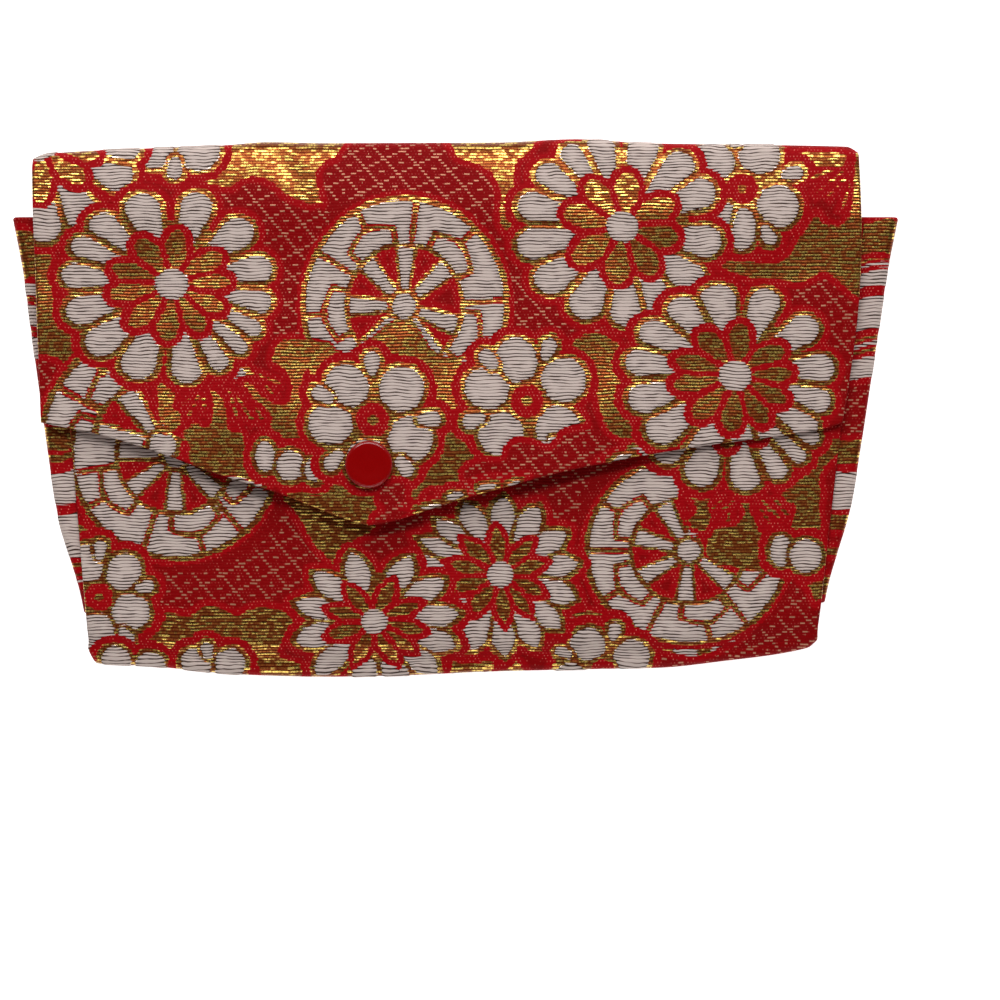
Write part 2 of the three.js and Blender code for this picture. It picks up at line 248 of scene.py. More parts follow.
def topSlope(across):
    # level of the flap over the mouth, and the slope at which the cloth leaves the top fold
    share = (foldEnd - mouthY) / pouch["flapSideDepth"]
    x = pouch["foldShift"] + mix(pouch["foldWidth"], pouch["flapWidth"], share) * (across - 0.5)
    level = flapHeight(x, mouthY)
    rise = level - backLevel - 2 * pouch["topFoldRadius"]
    return level, np.arctan2(2 * rise, foldCentre(across) - mouthY)


def topPart(across, t):
    # a turn round the top fold that ends on its slope
    radius = pouch["topFoldRadius"]
    turn = (math.pi - topSlope(across)[1]) * t
    x = pouch["foldShift"] + pouch["foldWidth"] * (across - 0.5) + 0 * t
    return x, foldCentre(across) + radius * np.sin(turn), backLevel + radius * (1 - np.cos(turn))


def flapPart(across, t):
    # an arc up to the mouth, then over the front to the free edge
    radius = pouch["topFoldRadius"]
    level, slope = topSlope(across)
    startY = foldCentre(across) + radius * np.sin(slope)
    startLevel = backLevel + radius * (1 + np.cos(slope))
    y = mix(startY, flapEdgeY(across), t)
    bow = pouch["flapBow"] * np.sin(math.pi * t) * across
    middle = mix(pouch["foldShift"], pouch["flapShift"], t)
    x = bow + middle + mix(pouch["foldWidth"], pouch["flapWidth"], t) * (across - 0.5)
    toMouth = np.clip((startY - y) / (startY - mouthY), 0, 1)
    arc = mix(startLevel, level, 1 - (1 - toMouth) ** 2)
    return x, y, np.where(y < mouthY, flapHeight(x, y), arc)


# How fine the cloth's grid is, in millimetres between its points
grid = {
    "across": 0.5,
    "flap": 0.52,
    "front": 0.52,
    "hidden": 4.0,
    "back": 1.6,
    "fold": 0.6,
    "insideEvery": 6,  # rows of the outer face to one of the inner
    "gusset": 0.5,
    "ply": 0.6,
    "plyLength": 10,
    "plyTurn": 20,  # columns in the turn that joins two plies
    "gussetInsideEvery": 2,
    "flapAnchor": 20,  # where in Y the flap and the front keep the photograph's places
    "frontAnchor": -40,
}


def spaced(start, end, step):
    # evenly spaced numbers that reach both ends
    return np.linspace(start, end, max(2, round(abs(end - start) / step) + 1))


def withEdges(distances, length, sides=(True, True)):
    # adds points that stand closer together where the cloth ends, so that its edge can be round
    near = np.array([0.08, 0.22, 0.45])
    extra = ([near] if sides[0] else []) + ([length - near] if sides[1] else [])
    return np.unique(np.concatenate([distances] + extra).round(4))


def normalsOf(points):
    # cross product of the differences along the rows and along the columns
    alongRows = np.gradient(points, axis=0)
    alongColumns = np.gradient(points, axis=1)
    normals = np.cross(alongRows, alongColumns)
    return normals / np.linalg.norm(normals, axis=2, keepdims=True)


def roundedEdge(distance):
    # half the thickness of a wall whose edge is a half circle, at a distance from the edge
    return half * np.sqrt(1 - (1 - np.clip(distance / half, 0.02, 1)) ** 2)


def newObject(name, data):
    # its origin is the scene's, and its place is in its mesh
    made = bpy.data.objects.new(name, data)
    bpy.context.scene.collection.objects.link(made)
    return made


def shell(name, middle, normals, thick, raised, every, coordinates, cutRows=()):
    # a closed wall round a surface: its outer face moved out by thick plus raised along the normal,
    # its inner face moved in by thick and kept only at every so many rows. A row in cutRows is where
    # two pieces meet, and stays square
    rows, columns = middle.shape[:2]
    keep = np.unique(np.append(np.arange(0, rows, every), rows - 1))
    outer = middle + normals * (thick + raised)[..., None]
    inner = (middle - normals * thick[..., None])[keep]
    points = np.concatenate([outer.reshape(-1, 3), inner.reshape(-1, 3)]) * mm
    top = np.arange(rows * columns).reshape(rows, columns)
    low = rows * columns + np.arange(len(keep) * columns).reshape(len(keep), columns)
    face = np.stack([top[:-1, :-1], top[1:, :-1], top[1:, 1:], top[:-1, 1:]], -1).reshape(-1, 4)
    ends = {
        0: np.stack([top[0, :-1], top[0, 1:], low[0, 1:], low[0, :-1]], -1),
        rows - 1: np.stack([top[-1, 1:], top[-1, :-1], low[-1, :-1], low[-1, 1:]], -1),
    }
    sides = []
    for k in range(len(keep) - 1):
        span = np.arange(keep[k], keep[k + 1] + 1)
        sides.append([*top[span[::-1], 0].tolist(), int(low[k, 0]), int(low[k + 1, 0])])
        sides.append([*top[span, -1].tolist(), int(low[k + 1, -1]), int(low[k, -1])])
    inside = np.stack([low[:-1, :-1], low[:-1, 1:], low[1:, 1:], low[1:, :-1]], -1).reshape(-1, 4)
    rims = [ends[row] for row in sorted(ends, key=lambda row: row in cutRows)]
    faces = face.tolist() + sides + inside.tolist() + rims[0].tolist() + rims[1].tolist()
    mesh = bpy.data.meshes.new(name)
    mesh.from_pydata(points.tolist(), [], faces)
    soft = np.ones(len(faces), bool)
    soft[len(faces) - len(cutRows) * (columns - 1) :] = False
    mesh.polygons.foreach_set("use_smooth", soft)
    slots = np.zeros(len(faces), np.int32)
    first = len(face) + len(sides)
    slots[first : first + len(inside)] = 1
    mesh.polygons.foreach_set("material_index", slots)
    for key, values in coordinates.items():
        kind = "FLOAT" if values.ndim == 2 else "FLOAT_VECTOR"
        both = [values.reshape(rows * columns, -1), values[keep].reshape(len(keep) * columns, -1)]
        flat = np.concatenate(both)
        attribute = mesh.attributes.new(key, kind, "POINT")
        attribute.data.foreach_set("value" if kind == "FLOAT" else "vector", flat.astype(np.float32).ravel())
    mesh.update()
    print(name, "made:", len(faces), "faces")
    return newObject(name, mesh)


# The figures are painted into one field for each thread. It holds, at each point of the grid, how far
# inside that thread's area the point lies, in millimetres
paints = ("white", "gold", "dots")


def newCloth(x, t):
    # bare red ground
    fields = {thread: np.full(x.size, -far) for thread in paints}
    return {"x": x.ravel(), "t": t.ravel(), **fields}


def paint(cloth, near, shape, thread):
    # the shape joins its own thread's area and is cut from the others, but the gold runs on a little
    # under the white
    for name in paints:
        field = cloth[name][near]
        under = 0.7 if (name, thread) == ("gold", "white") else 0
        cloth[name][near] = np.maximum(field, shape) if name == thread else np.minimum(field, under - shape)


def around(cloth, x, t, reach, stretch=(1, 1, 1, 1)):
    # the points within reach of a place, and how far they lie from it in X and along the cloth;
    # stretch is how much longer the figure is to the left, right, top and bottom
    dx, dt = cloth["x"] - x, cloth["t"] - t
    dx = dx / np.where(dx < 0, stretch[0], stretch[1])
    dt = dt / np.where(dt > 0, stretch[2], stretch[3])
    near = np.flatnonzero(dx * dx + dt * dt < reach * reach)
    return near, dx[near], dt[near]


def turned(dx, dt, angle):
    # how far along a direction, in degrees, and how far aside of it a point lies
    angle = math.radians(angle)
    return dx * math.cos(angle) + dt * math.sin(angle), np.abs(dt * math.cos(angle) - dx * math.sin(angle))


def oval(along, aside, reach, wide):
    # distance inside an ellipse, to first order: its level set over its own slope
    level = np.hypot(along / reach, aside / wide) + 1e-6
    return (1 - level) * level / (np.hypot(along / reach**2, aside / wide**2) + 1e-6)


def roundPetal(dx, dt, angle, start, end, width):
    # a drop: the hull of a circle of the petal's width that reaches end and a smaller one at start
    along, aside = turned(dx, dt, angle)
    along = along - start
    big = width / 2
    length = max(0.01, end - big - start)
    small = 0.9 * big * start / (end - big)
    lean = min(0.99, (small - big) / length)
    rest = math.sqrt(1 - lean * lean)
    across = rest * along - lean * aside
    body = aside * rest + along * lean - small
    ends = np.where(across < 0, np.hypot(aside, along) - small, np.hypot(aside, along - length) - big)
    return -np.where((across < 0) | (across > rest * length), ends, body)


def ovalPetal(dx, dt, angle, start, end, width):
    # an ellipse that spans start to end
    along, aside = turned(dx, dt, angle)
    return oval(along - (start + end) / 2, aside, (end - start) / 2, width / 2)


def pointedPetal(dx, dt, angle, start, end, width):
    # a leaf: the overlap of two equal circles whose crossings are its two points
    along, aside = turned(dx, dt, angle)
    reach = (end - start) / 2
    radius = (width * width / 4 + reach * reach) / width
    return radius - np.hypot(along - (start + end) / 2, aside + radius - width / 2)


def rosette(dx, dt, petal, angles, start, end, gap, widest):
    # the union of the petals, each as wide as its neighbours leave it, and the same with a gap cut
    # along the line that halves the angle between each two of them
    angles = np.sort(np.array(angles, float) % 360)
    ahead = (np.roll(angles, -1) - angles) % 360
    whole, cut = np.full(dx.shape, -far), np.full(dx.shape, far)
    for angle, room, after in zip(angles, (ahead + np.roll(ahead, 1)) / 2, ahead):
        width = min(widest, 2 * (end - widest / 2) * math.sin(math.radians(min(90, room) / 2)) - gap)
        whole = np.maximum(whole, petal(dx, dt, angle, start, end, max(1.2, width)))
        along, aside = turned(dx, dt, angle + after / 2)
        cut = np.where(along > 0, np.minimum(cut, aside - gap / 2), cut)
    return whole, np.minimum(whole, cut)


# Chrysanthemums: angles in degrees, lengths in millimetres for a flower of scale 1
roundFlower = {
    "petal": roundPetal,
    "innerPetal": ovalPetal,
    "outerAngles": [109, 135, 154, 174, 198, 222, 249, 280, 301, 317, 331, 348, 10, 40, 74],
    "innerAngles": [123, 85, 32, 2, 332, 302, 265, 229, 191, 162],
    "outerEnd": 22.3,
    "innerEnd": 12.7,
    "outerGap": 1.25,
    "innerGap": 1.2,
    "innerLine": 1.4,
    "hub": 3.6,
    "widest": 7.3,
    "innerWidest": 5.0,
}
wideFlower = {
    **roundFlower,
    "outerAngles": [104, 76, 48, 24, 350, 322, 296, 272, 246, 218, 192, 166, 142, 122],
    "innerAngles": [85, 125, 163, 217, 264, 304, 347, 27],
    "innerWidest": 5.8,
}
lowFlower = {
    **roundFlower,
    "outerAngles": [124, 101, 70, 36, 5, 343, 324, 300, 276, 249, 219, 196, 171, 148],
}
cornerFlower = {
    **roundFlower,
    "outerAngles": [273, 301, 338, 357, 20, 45, 75, 105, 135, 165, 190, 215, 245],
    "innerAngles": [270, 318, 348, 20, 60, 100, 140, 180, 225],
    "outerEnd": 21.3,
}
leftPointed = {
    "petal": pointedPetal,
    "innerPetal": pointedPetal,
    "outerAngles": [165, 137, 106, 65, 36, 6, 342, 317, 290, 260, 223, 194],
    "innerAngles": [124, 69, 26, 348, 321, 296, 246, 198, 163],
    "outerEnd": 18.3,
    "innerEnd": 11.0,
    "outerGap": 0.7,
    "innerGap": 1.0,
    "innerLine": 1.1,
    "hub": 3.0,
    "widest": 5.7,
    "innerWidest": 3.2,
}
rightPointed = {
    **leftPointed,
    "outerAngles": [153, 136, 114, 88, 61, 33, 8, 343, 320, 298, 273, 248, 218, 172],
    "innerAngles": [133, 95, 47, 15, 336, 308, 275, 235, 199, 166],
}
outlines = {"gold": 1.1, "fineGold": 1.0, "red": 1.5, "spot": 0.9, "vein": 0.32}  # widths, in millimetres


def flower(cloth, x, t, style, scale=1.0, turn=0, stretch=(1, 1, 1, 1)):
    # red outline, gold outline, white petals, red ring, gold petals and white hub
    near, dx, dt = around(cloth, x, t, style["outerEnd"] * scale + 4, stretch)
    outerEnd, innerEnd = style["outerEnd"] * scale, style["innerEnd"] * scale
    distance = np.hypot(dx, dt)
    outerAngles = [angle + turn for angle in style["outerAngles"]]
    innerAngles = [angle + turn for angle in style["innerAngles"]]
    whole, white = rosette(
        dx, dt, style["petal"], outerAngles, 0.4 * outerEnd, outerEnd, style["outerGap"], style["widest"]
    )
    gap, widest = style["innerGap"], style["innerWidest"]
    gold = rosette(dx, dt, style["innerPetal"], innerAngles, 0.7 * style["hub"], innerEnd, gap, widest)[1]
    spread = np.maximum(whole, 0.62 * outerEnd - distance)
    paint(cloth, near, spread + outlines["gold"] + outlines["red"], "red")
    paint(cloth, near, spread + outlines["gold"], "gold")
    paint(cloth, near, white, "white")
    paint(cloth, near, np.maximum(gold, 1.2 * style["hub"] - distance) + style["innerLine"], "red")
    paint(cloth, near, gold, "gold")
    paint(cloth, near, style["hub"] * scale - distance, "white")


# A plum blossom of scale 1, in millimetres
blossom = {
    "petalStart": 4.0,
    "petalEnd": 13.9,
    "gap": 0.8,
    "widest": 9.8,
    "bitStart": 10.6,
    "bitEnd": 14.6,
    "bitWidth": 3.6,
    "goldRing": 4.3,
    "redRing": 3.4,
    "heart": 1.2,
}


def plum(cloth, x, t, angles, bits=(), scale=1.0):
    # five round petals with small white bits between them, round a red ring with a gold heart
    near, dx, dt = around(cloth, x, t, 20 * scale)
    distance = np.hypot(dx, dt)
    size = {key: value * scale for key, value in blossom.items()}
    whole, white = rosette(
        dx, dt, ovalPetal, angles, size["petalStart"], size["petalEnd"], blossom["gap"], size["widest"]
    )
    for angle in bits:
        bit = roundPetal(dx, dt, angle, size["bitStart"], size["bitEnd"], size["bitWidth"])
        white = np.maximum(np.minimum(white, -0.6 - bit), bit)
        whole = np.maximum(whole, bit)
    spread = np.maximum(whole, 9 * scale - distance)
    paint(cloth, near, spread + outlines["fineGold"] + outlines["red"], "red")
    paint(cloth, near, spread + outlines["fineGold"], "gold")
    paint(cloth, near, white, "white")
    paint(cloth, near, size["goldRing"] - distance, "gold")
    paint(cloth, near, size["redRing"] - distance, "red")
    paint(cloth, near, size["heart"] - distance, "gold")


# A cart wheel, in millimetres: the rim's radii, its outlines, half the width of its gold lines, and its hub
cart = {
    "outer": 22.6,
    "halfway": 17.6,
    "inner": 13.0,
    "redOutline": 2.2,
    "goldOutline": 1.2,
    "line": 0.6,
    "hubOutline": 3.7,
    "hub": 2.8,
}


def wheel(cloth, x, t, spokes, joints, blocks, stretch=(1, 1, 1, 1)):
    # a cart wheel: white rim with gold joints and blocks, white spokes on red, white hub. A block is
    # a part of the rim's inner half, and a joint runs on from its middle to the outside
    near, dx, dt = around(cloth, x, t, 25, stretch)
    distance = np.hypot(dx, dt)
    outer, halfway, inner, line = cart["outer"], cart["halfway"], cart["inner"], cart["line"]
    paint(cloth, near, outer + cart["redOutline"] - distance, "red")
    paint(cloth, near, outer + cart["goldOutline"] - distance, "gold")
    paint(cloth, near, np.minimum(outer - distance, distance - inner - 0.4), "white")
    for angle in joints:
        along, aside = turned(dx, dt, angle)
        paint(cloth, near, np.minimum(np.minimum(line - aside, along - inner), outer - along), "gold")
    for angle in blocks:
        along, aside = turned(dx, dt, angle)
        peaked = halfway + 1.1 - 0.33 * aside - distance
        block = np.minimum(np.minimum(peaked, distance - inner + 2), 0.36 * along - aside)
        block = np.where(along > 0, block, -far)
        paint(cloth, near, np.minimum(line - np.abs(block), distance - inner), "gold")
        paint(cloth, near, np.minimum(np.minimum(line - aside, along - halfway), outer - along), "gold")
    paint(cloth, near, inner + 0.5 - distance, "gold")
    paint(cloth, near, inner - 0.4 - distance, "red")
    for angle in spokes:
        along, aside = turned(dx, dt, angle)
        spoke = np.minimum(np.minimum(0.55 + 0.115 * along - aside, along - 2), inner - 0.4 - distance)
        paint(cloth, near, np.minimum(spoke + 0.7, inner - distance), "gold")
        paint(cloth, near, spoke, "white")
    paint(cloth, near, cart["hubOutline"] - distance, "gold")
    paint(cloth, near, cart["hub"] - distance, "white")


def bud(cloth, x, t, pieces):
    # a row of white pieces in one gold and one red outline
    near, dx, dt = around(cloth, x, t, 18)
    whole, white = np.full(dx.shape, -far), np.full(dx.shape, -far)
    for middleX, middleT, wide, tall in pieces:
        piece = oval(dx - middleX, dt - middleT, wide, tall)
        whole = np.maximum(whole, piece)
        white = np.maximum(np.minimum(white, -0.7 - piece), piece)
    paint(cloth, near, whole + outlines["fineGold"] + outlines["red"], "red")
    paint(cloth, near, whole + outlines["fineGold"], "gold")
    paint(cloth, near, white, "white")


def veins(cloth, place, rows):
    # thin gold lines in the leaves, each between two pixels
    for fromX, fromY, toX, toY in rows:
        start, end = np.array(place(fromX, fromY)), np.array(place(toX, toY))
        way = end - start
        length = math.hypot(*way)
        near, dx, dt = around(cloth, *start, length + 2)
        along, aside = turned(dx, dt, math.degrees(math.atan2(way[1], way[0])))
        line = np.minimum(np.minimum(outlines["vein"] - aside, along), length - along)
        paint(cloth, near, line, "gold")


def insideOutline(x, t, corners):
    # how far inside a closed outline each point lies: the outline is a Catmull-Rom curve through the
    # corners in five steps each, and the sign is that of the count of its crossings to the right
    before, after, beyond = (np.roll(corners, shift, axis=0) for shift in (1, -1, -2))
    s = np.arange(5)[:, None, None] / 5
    curve = 2 * corners + (after - before) * s + (2 * before - 5 * corners + 4 * after - beyond) * s**2
    curve = (curve + (3 * corners - before - 3 * after + beyond) * s**3) / 2
    starts = curve.transpose(1, 0, 2).reshape(-1, 2)
    nearest, inside = np.full(x.shape, far), np.zeros(x.shape, bool)
    for (startX, startT), (wayX, wayT) in zip(starts, np.roll(starts, -1, axis=0) - starts):
        dx, dt = x - startX, t - startT
        share = np.clip((dx * wayX + dt * wayT) / (wayX**2 + wayT**2 + 1e-9), 0, 1)
        nearest = np.minimum(nearest, np.hypot(dx - share * wayX, dt - share * wayT))
        crosses = (dt >= 0) != (dt - wayT >= 0)
        inside ^= crosses & (dx * wayT * np.sign(wayT) < dt * wayX * np.sign(wayT))
    return np.where(inside, nearest, -nearest)


def area(cloth, place, thread, outline, margin=0.0):
    # a part of the ground inside an outline in pixels. The margin leaves a red rim round a dotted one
    corners = np.array([place(*pixel) for pixel in outline])
    low, high = corners.min(axis=0) - 3, corners.max(axis=0) + 3
    across = (cloth["x"] > low[0]) & (cloth["x"] < high[0])
    near = np.flatnonzero(across & (cloth["t"] > low[1]) & (cloth["t"] < high[1]))
    shape = insideOutline(cloth["x"][near], cloth["t"][near], corners)
    if margin:
        paint(cloth, near, shape, "red")
    paint(cloth, near, shape - margin, thread)


def spots(cloth, place, rows):
    # white spots with a gold outline: middle, half width and half height in pixels, and tilt
    for px, py, wide, tall, tilt in rows:
        near, dx, dt = around(cloth, *place(px, py), 14)
        turn = math.radians(tilt)
        along = dx * math.cos(turn) + dt * math.sin(turn)
        aside = dt * math.cos(turn) - dx * math.sin(turn)
        shape = oval(along, aside, wide * photo["mmPerPixel"], tall * photo["mmPerPixel"])
        paint(cloth, near, shape + outlines["spot"], "gold")
        paint(cloth, near, shape, "white")


# The ground's parts in pixels of the photograph, read from it. Those with a name of their own
# come again on the back
leftCloud = [
    (138, 176), (146, 176), (170, 182), (198, 184), (230, 188), (236, 184), (247, 178), (263, 179),
    (277, 187), (285, 195), (307, 204), (322, 204), (317, 182), (318, 171), (330, 163), (336, 158),
    (339, 151), (350, 140), (350, 125), (225, 125), (220, 147), (210, 157), (198, 168), (178, 167),
    (160, 170),
]
topCloud = [
    (448, 120), (548, 120), (535, 145), (527, 155), (516, 165), (514, 190), (514, 215), (522, 235),
    (530, 250), (517, 253), (511, 238), (500, 222), (500, 194), (494, 178), (487, 170), (475, 164),
    (460, 159), (453, 150),
]
rightCloud = [
    (718, 266), (730, 260), (768, 263), (785, 258), (797, 242), (809, 222), (817, 214), (823, 222),
    (841, 226), (851, 210), (853, 184), (857, 155), (885, 150), (885, 305), (862, 299), (849, 291),
    (837, 281), (825, 273), (813, 277), (799, 283), (777, 281), (750, 279), (730, 271),
]
leftLattice = [
    (200, 187), (230, 189), (236, 185), (247, 179), (263, 180), (277, 188), (285, 196), (307, 205),
    (325, 204), (345, 230), (330, 341), (311, 341), (275, 341), (240, 335), (220, 280), (200, 220),
]
topLattice = [
    (326, 206), (318, 184), (317, 173), (324, 163), (335, 159), (339, 151), (350, 140), (350, 120),
    (446, 120), (448, 144), (454, 155), (462, 161), (476, 165), (488, 171), (496, 180), (500, 194),
    (500, 210), (498, 222), (503, 230), (511, 238), (515, 252), (533, 254), (560, 270), (575, 300),
    (592, 320), (610, 322), (610, 338), (567, 338), (511, 343), (480, 330), (470, 260), (440, 220),
    (400, 205), (360, 205),
]
flapGround = [
    ("gold", leftCloud),
    ("gold", [
        (25, 250), (50, 254), (52, 290), (58, 310), (66, 330), (88, 340), (84, 352), (72, 361), (25, 361),
    ]),
    ("gold", topCloud),
    ("gold", rightCloud),
    ("gold", [(793, 156), (818, 153), (843, 155), (845, 163), (838, 168), (800, 168)]),
    ("dots", leftLattice),
    ("dots", topLattice),
    ("dots", [
        (779, 290), (799, 283), (813, 277), (825, 273), (837, 281), (849, 291), (862, 299), (890, 303),
        (890, 445), (850, 440), (835, 425), (800, 350),
    ]),
    ("dots", [(15, 361), (62, 361), (58, 400), (45, 430), (15, 430)]),
]
backGround = [
    # thread, outline, and how far it is moved in pixels
    ("gold", leftCloud, 40, 350),
    ("gold", rightCloud, -300, 160),
    ("gold", topCloud, 120, 330),
    ("dots", leftLattice, 330, 250),
    ("dots", topLattice, -60, 90),
]
flapOverWheels = [
    ("red", [
        (158, 380), (175, 372), (200, 384), (262, 372), (318, 345), (318, 452), (264, 452), (264, 480),
        (240, 474), (215, 471), (192, 459), (186, 440), (172, 432), (160, 410),
    ]),
    ("gold", [
        (291, 341), (310, 341), (320, 345), (345, 352), (362, 345), (375, 335), (392, 322), (404, 320),
        (414, 322), (424, 338), (434, 352), (448, 358), (458, 358), (462, 372), (458, 400), (458, 424),
        (464, 438), (472, 449), (482, 456), (472, 459), (462, 465), (458, 473), (458, 481), (448, 483),
        (442, 487), (432, 485), (424, 489), (420, 495), (418, 515), (413, 503), (410, 489), (400, 470),
        (373, 430), (330, 400), (310, 372),
    ]),
    ("gold", [
        (572, 343), (584, 335), (600, 333), (617, 343), (619, 352), (617, 364), (625, 380), (625, 400),
        (625, 414), (635, 422), (649, 430), (647, 434), (639, 440), (623, 438), (609, 430), (600, 412),
        (597, 400), (594, 376), (584, 362), (572, 352),
    ]),
    ("gold", [
        (272, 361), (284, 340), (329, 342), (332, 356), (315, 364), (303, 377), (312, 400), (312, 440),
        (305, 447), (285, 443), (270, 437), (272, 420), (266, 410), (253, 398), (246, 387), (243, 382),
        (250, 383), (260, 394), (272, 403), (282, 405), (290, 401), (292, 387), (289, 378), (284, 369),
    ]),
    ("gold", [
        (183, 432), (194, 424), (198, 423), (203, 427), (211, 424), (214, 410), (213, 399), (211, 391),
        (218, 394), (223, 399), (226, 410), (229, 429), (242, 433), (245, 442), (262, 444), (262, 450),
        (262, 468), (262, 478), (258, 484), (245, 479), (230, 476), (214, 476), (199, 469), (190, 460),
        (190, 450), (188, 442), (184, 438),
    ]),
    ("gold", [
        (158, 385), (165, 384), (173, 392), (176, 397), (173, 409), (180, 414), (180, 425), (172, 433),
        (165, 435), (164, 430), (165, 427), (162, 417), (159, 415), (158, 399),
    ]),
    ("gold", [
        (290, 489), (310, 491), (330, 487), (339, 480), (349, 479), (359, 485), (369, 487), (374, 489),
        (375, 493), (373, 499), (375, 505), (379, 509), (373, 513), (369, 519), (367, 535), (340, 530),
        (300, 510), (288, 500),
    ]),
]
flapOverPlums = [
    ("dots", [
        (415, 512), (420, 495), (424, 489), (432, 485), (442, 487), (448, 483), (458, 481), (458, 473),
        (462, 465), (472, 459), (482, 456), (500, 456), (503, 448), (510, 440), (519, 437), (531, 438),
        (541, 441), (549, 445), (555, 438), (561, 430), (573, 426), (587, 424), (597, 421), (602, 427),
        (611, 436), (623, 444), (638, 443), (626, 451), (612, 466), (580, 484), (520, 500), (460, 516),
    ]),
    ("dots", [
        (375, 487), (385, 480), (395, 477), (405, 478), (412, 485), (410, 495), (414, 507), (400, 516),
        (390, 524), (372, 532), (368, 522), (373, 512), (380, 508), (375, 500),
    ]),
]
# Leaf veins from pixel to pixel, and small white spots with their tilts
flapVeins = [(199, 396, 189, 416), (204, 398, 205, 412), (190, 399, 182, 405), (230, 391, 238, 421)]
flapVeins += [(236, 395, 253, 421), (255, 406, 263, 421), (259, 376, 280, 383), (266, 386, 274, 396)]
cornerVeins = [(843, 172, 815, 194), (846, 178, 828, 196), (850, 184, 842, 210), (838, 168, 812, 178)]
frontVeins = [(735, 500, 718, 513), (729, 511, 728, 521), (758, 494, 770, 512), (765, 503, 780, 519)]
frontVeins += [(760, 508, 770, 524), (785, 472, 806, 482), (775, 500, 788, 516), (722, 500, 712, 508)]
flapSpots = [(487, 487, 10, 4, 12), (514, 484, 7, 2.4, 12), (455, 496, 10, 4.5, 14), (431, 507, 10, 2, 12)]
flapSpots += [(643, 450, 15, 9, 28), (622, 458, 12, 3, 20)]
frontGround = [
    ("dots", [
        (150, 568), (200, 566), (245, 548), (270, 523), (281, 503), (285, 480), (420, 480), (480, 470),
        (560, 450), (660, 430), (650, 450), (600, 480), (578, 540), (580, 600), (590, 625), (560, 620),
        (540, 580), (440, 560), (350, 590), (310, 600), (301, 612), (287, 610), (275, 607), (261, 605),
        (251, 608), (240, 613), (230, 612), (218, 606), (208, 604), (198, 609), (190, 614), (178, 613),
        (166, 611), (150, 600),
    ]),
    ("dots", [
        (785, 578), (801, 568), (815, 604), (835, 600), (835, 640), (817, 655), (740, 672), (663, 684),
        (640, 680), (650, 650), (700, 655), (750, 630), (780, 600),
    ]),
    ("red", [
        (283, 490), (385, 490), (383, 530), (366, 544), (352, 552), (346, 565), (335, 573), (322, 562),
        (308, 548), (296, 526),
    ]),
    ("gold", [
        (287, 490), (380, 490), (375, 526), (361, 536), (347, 546), (339, 558), (335, 565), (328, 558),
        (316, 546), (302, 523), (296, 514),
    ]),
    ("gold", [
        (166, 612), (178, 614), (190, 615), (198, 610), (208, 605), (218, 607), (230, 613), (240, 614),
        (251, 609), (261, 606), (275, 608), (287, 611), (301, 613), (305, 618), (293, 625), (291, 637),
        (281, 643), (279, 651), (283, 657), (301, 665), (298, 669), (275, 674), (265, 668), (257, 660),
        (251, 652), (241, 644), (230, 642), (218, 640), (210, 639), (194, 636), (182, 640), (170, 648),
        (166, 650), (141, 648), (139, 644), (158, 630), (165, 618),
    ]),
    ("gold", [(70, 522), (84, 527), (95, 533), (105, 538), (101, 541), (92, 541), (70, 541)]),
    ("gold", [
        (572, 611), (585, 611), (600, 613), (612, 618), (613, 623), (600, 624), (585, 621), (573, 616),
    ]),
    ("gold", [
        (801, 579), (823, 576), (835, 580), (830, 595), (819, 600), (815, 602), (811, 592), (805, 583),
    ]),
    ("gold", [(498, 664), (515, 661), (533, 663), (540, 676), (496, 676)]),
    ("gold", [(452, 660), (470, 664), (490, 660), (492, 668), (470, 674), (455, 672)]),
]
frontOverWheels = [
    ("red", [
        (682, 485), (760, 485), (800, 470), (822, 500), (812, 530), (790, 545), (770, 536), (740, 528),
        (706, 532), (690, 530),
    ]),
    ("gold", [
        (689, 495), (702, 491), (710, 495), (708, 507), (711, 517), (706, 529), (694, 529), (689, 519),
        (696, 511), (694, 503),
    ]),
    ("gold", [
        (746, 491), (750, 499), (750, 511), (756, 523), (758, 530), (766, 536), (772, 538), (772, 550),
        (772, 558), (780, 563), (779, 568), (770, 572), (758, 572), (748, 570), (738, 568), (726, 566),
        (714, 562), (706, 556), (706, 546), (710, 536), (718, 528), (734, 526), (742, 519), (744, 511),
        (740, 500),
    ]),
    ("gold", [
        (815, 442), (840, 438), (870, 442), (870, 460), (852, 462), (842, 452), (826, 465), (819, 479),
        (821, 493), (819, 511), (821, 527), (817, 533), (801, 534), (791, 528), (793, 519), (795, 507),
        (787, 501), (777, 489), (774, 483), (790, 482), (802, 478), (807, 459),
    ]),
]


def paintAreas(cloth, place, rows):
    # each row's outline in its thread
    for thread, outline in rows:
        area(cloth, place, thread, outline, 1.3 if thread == "dots" else 0)


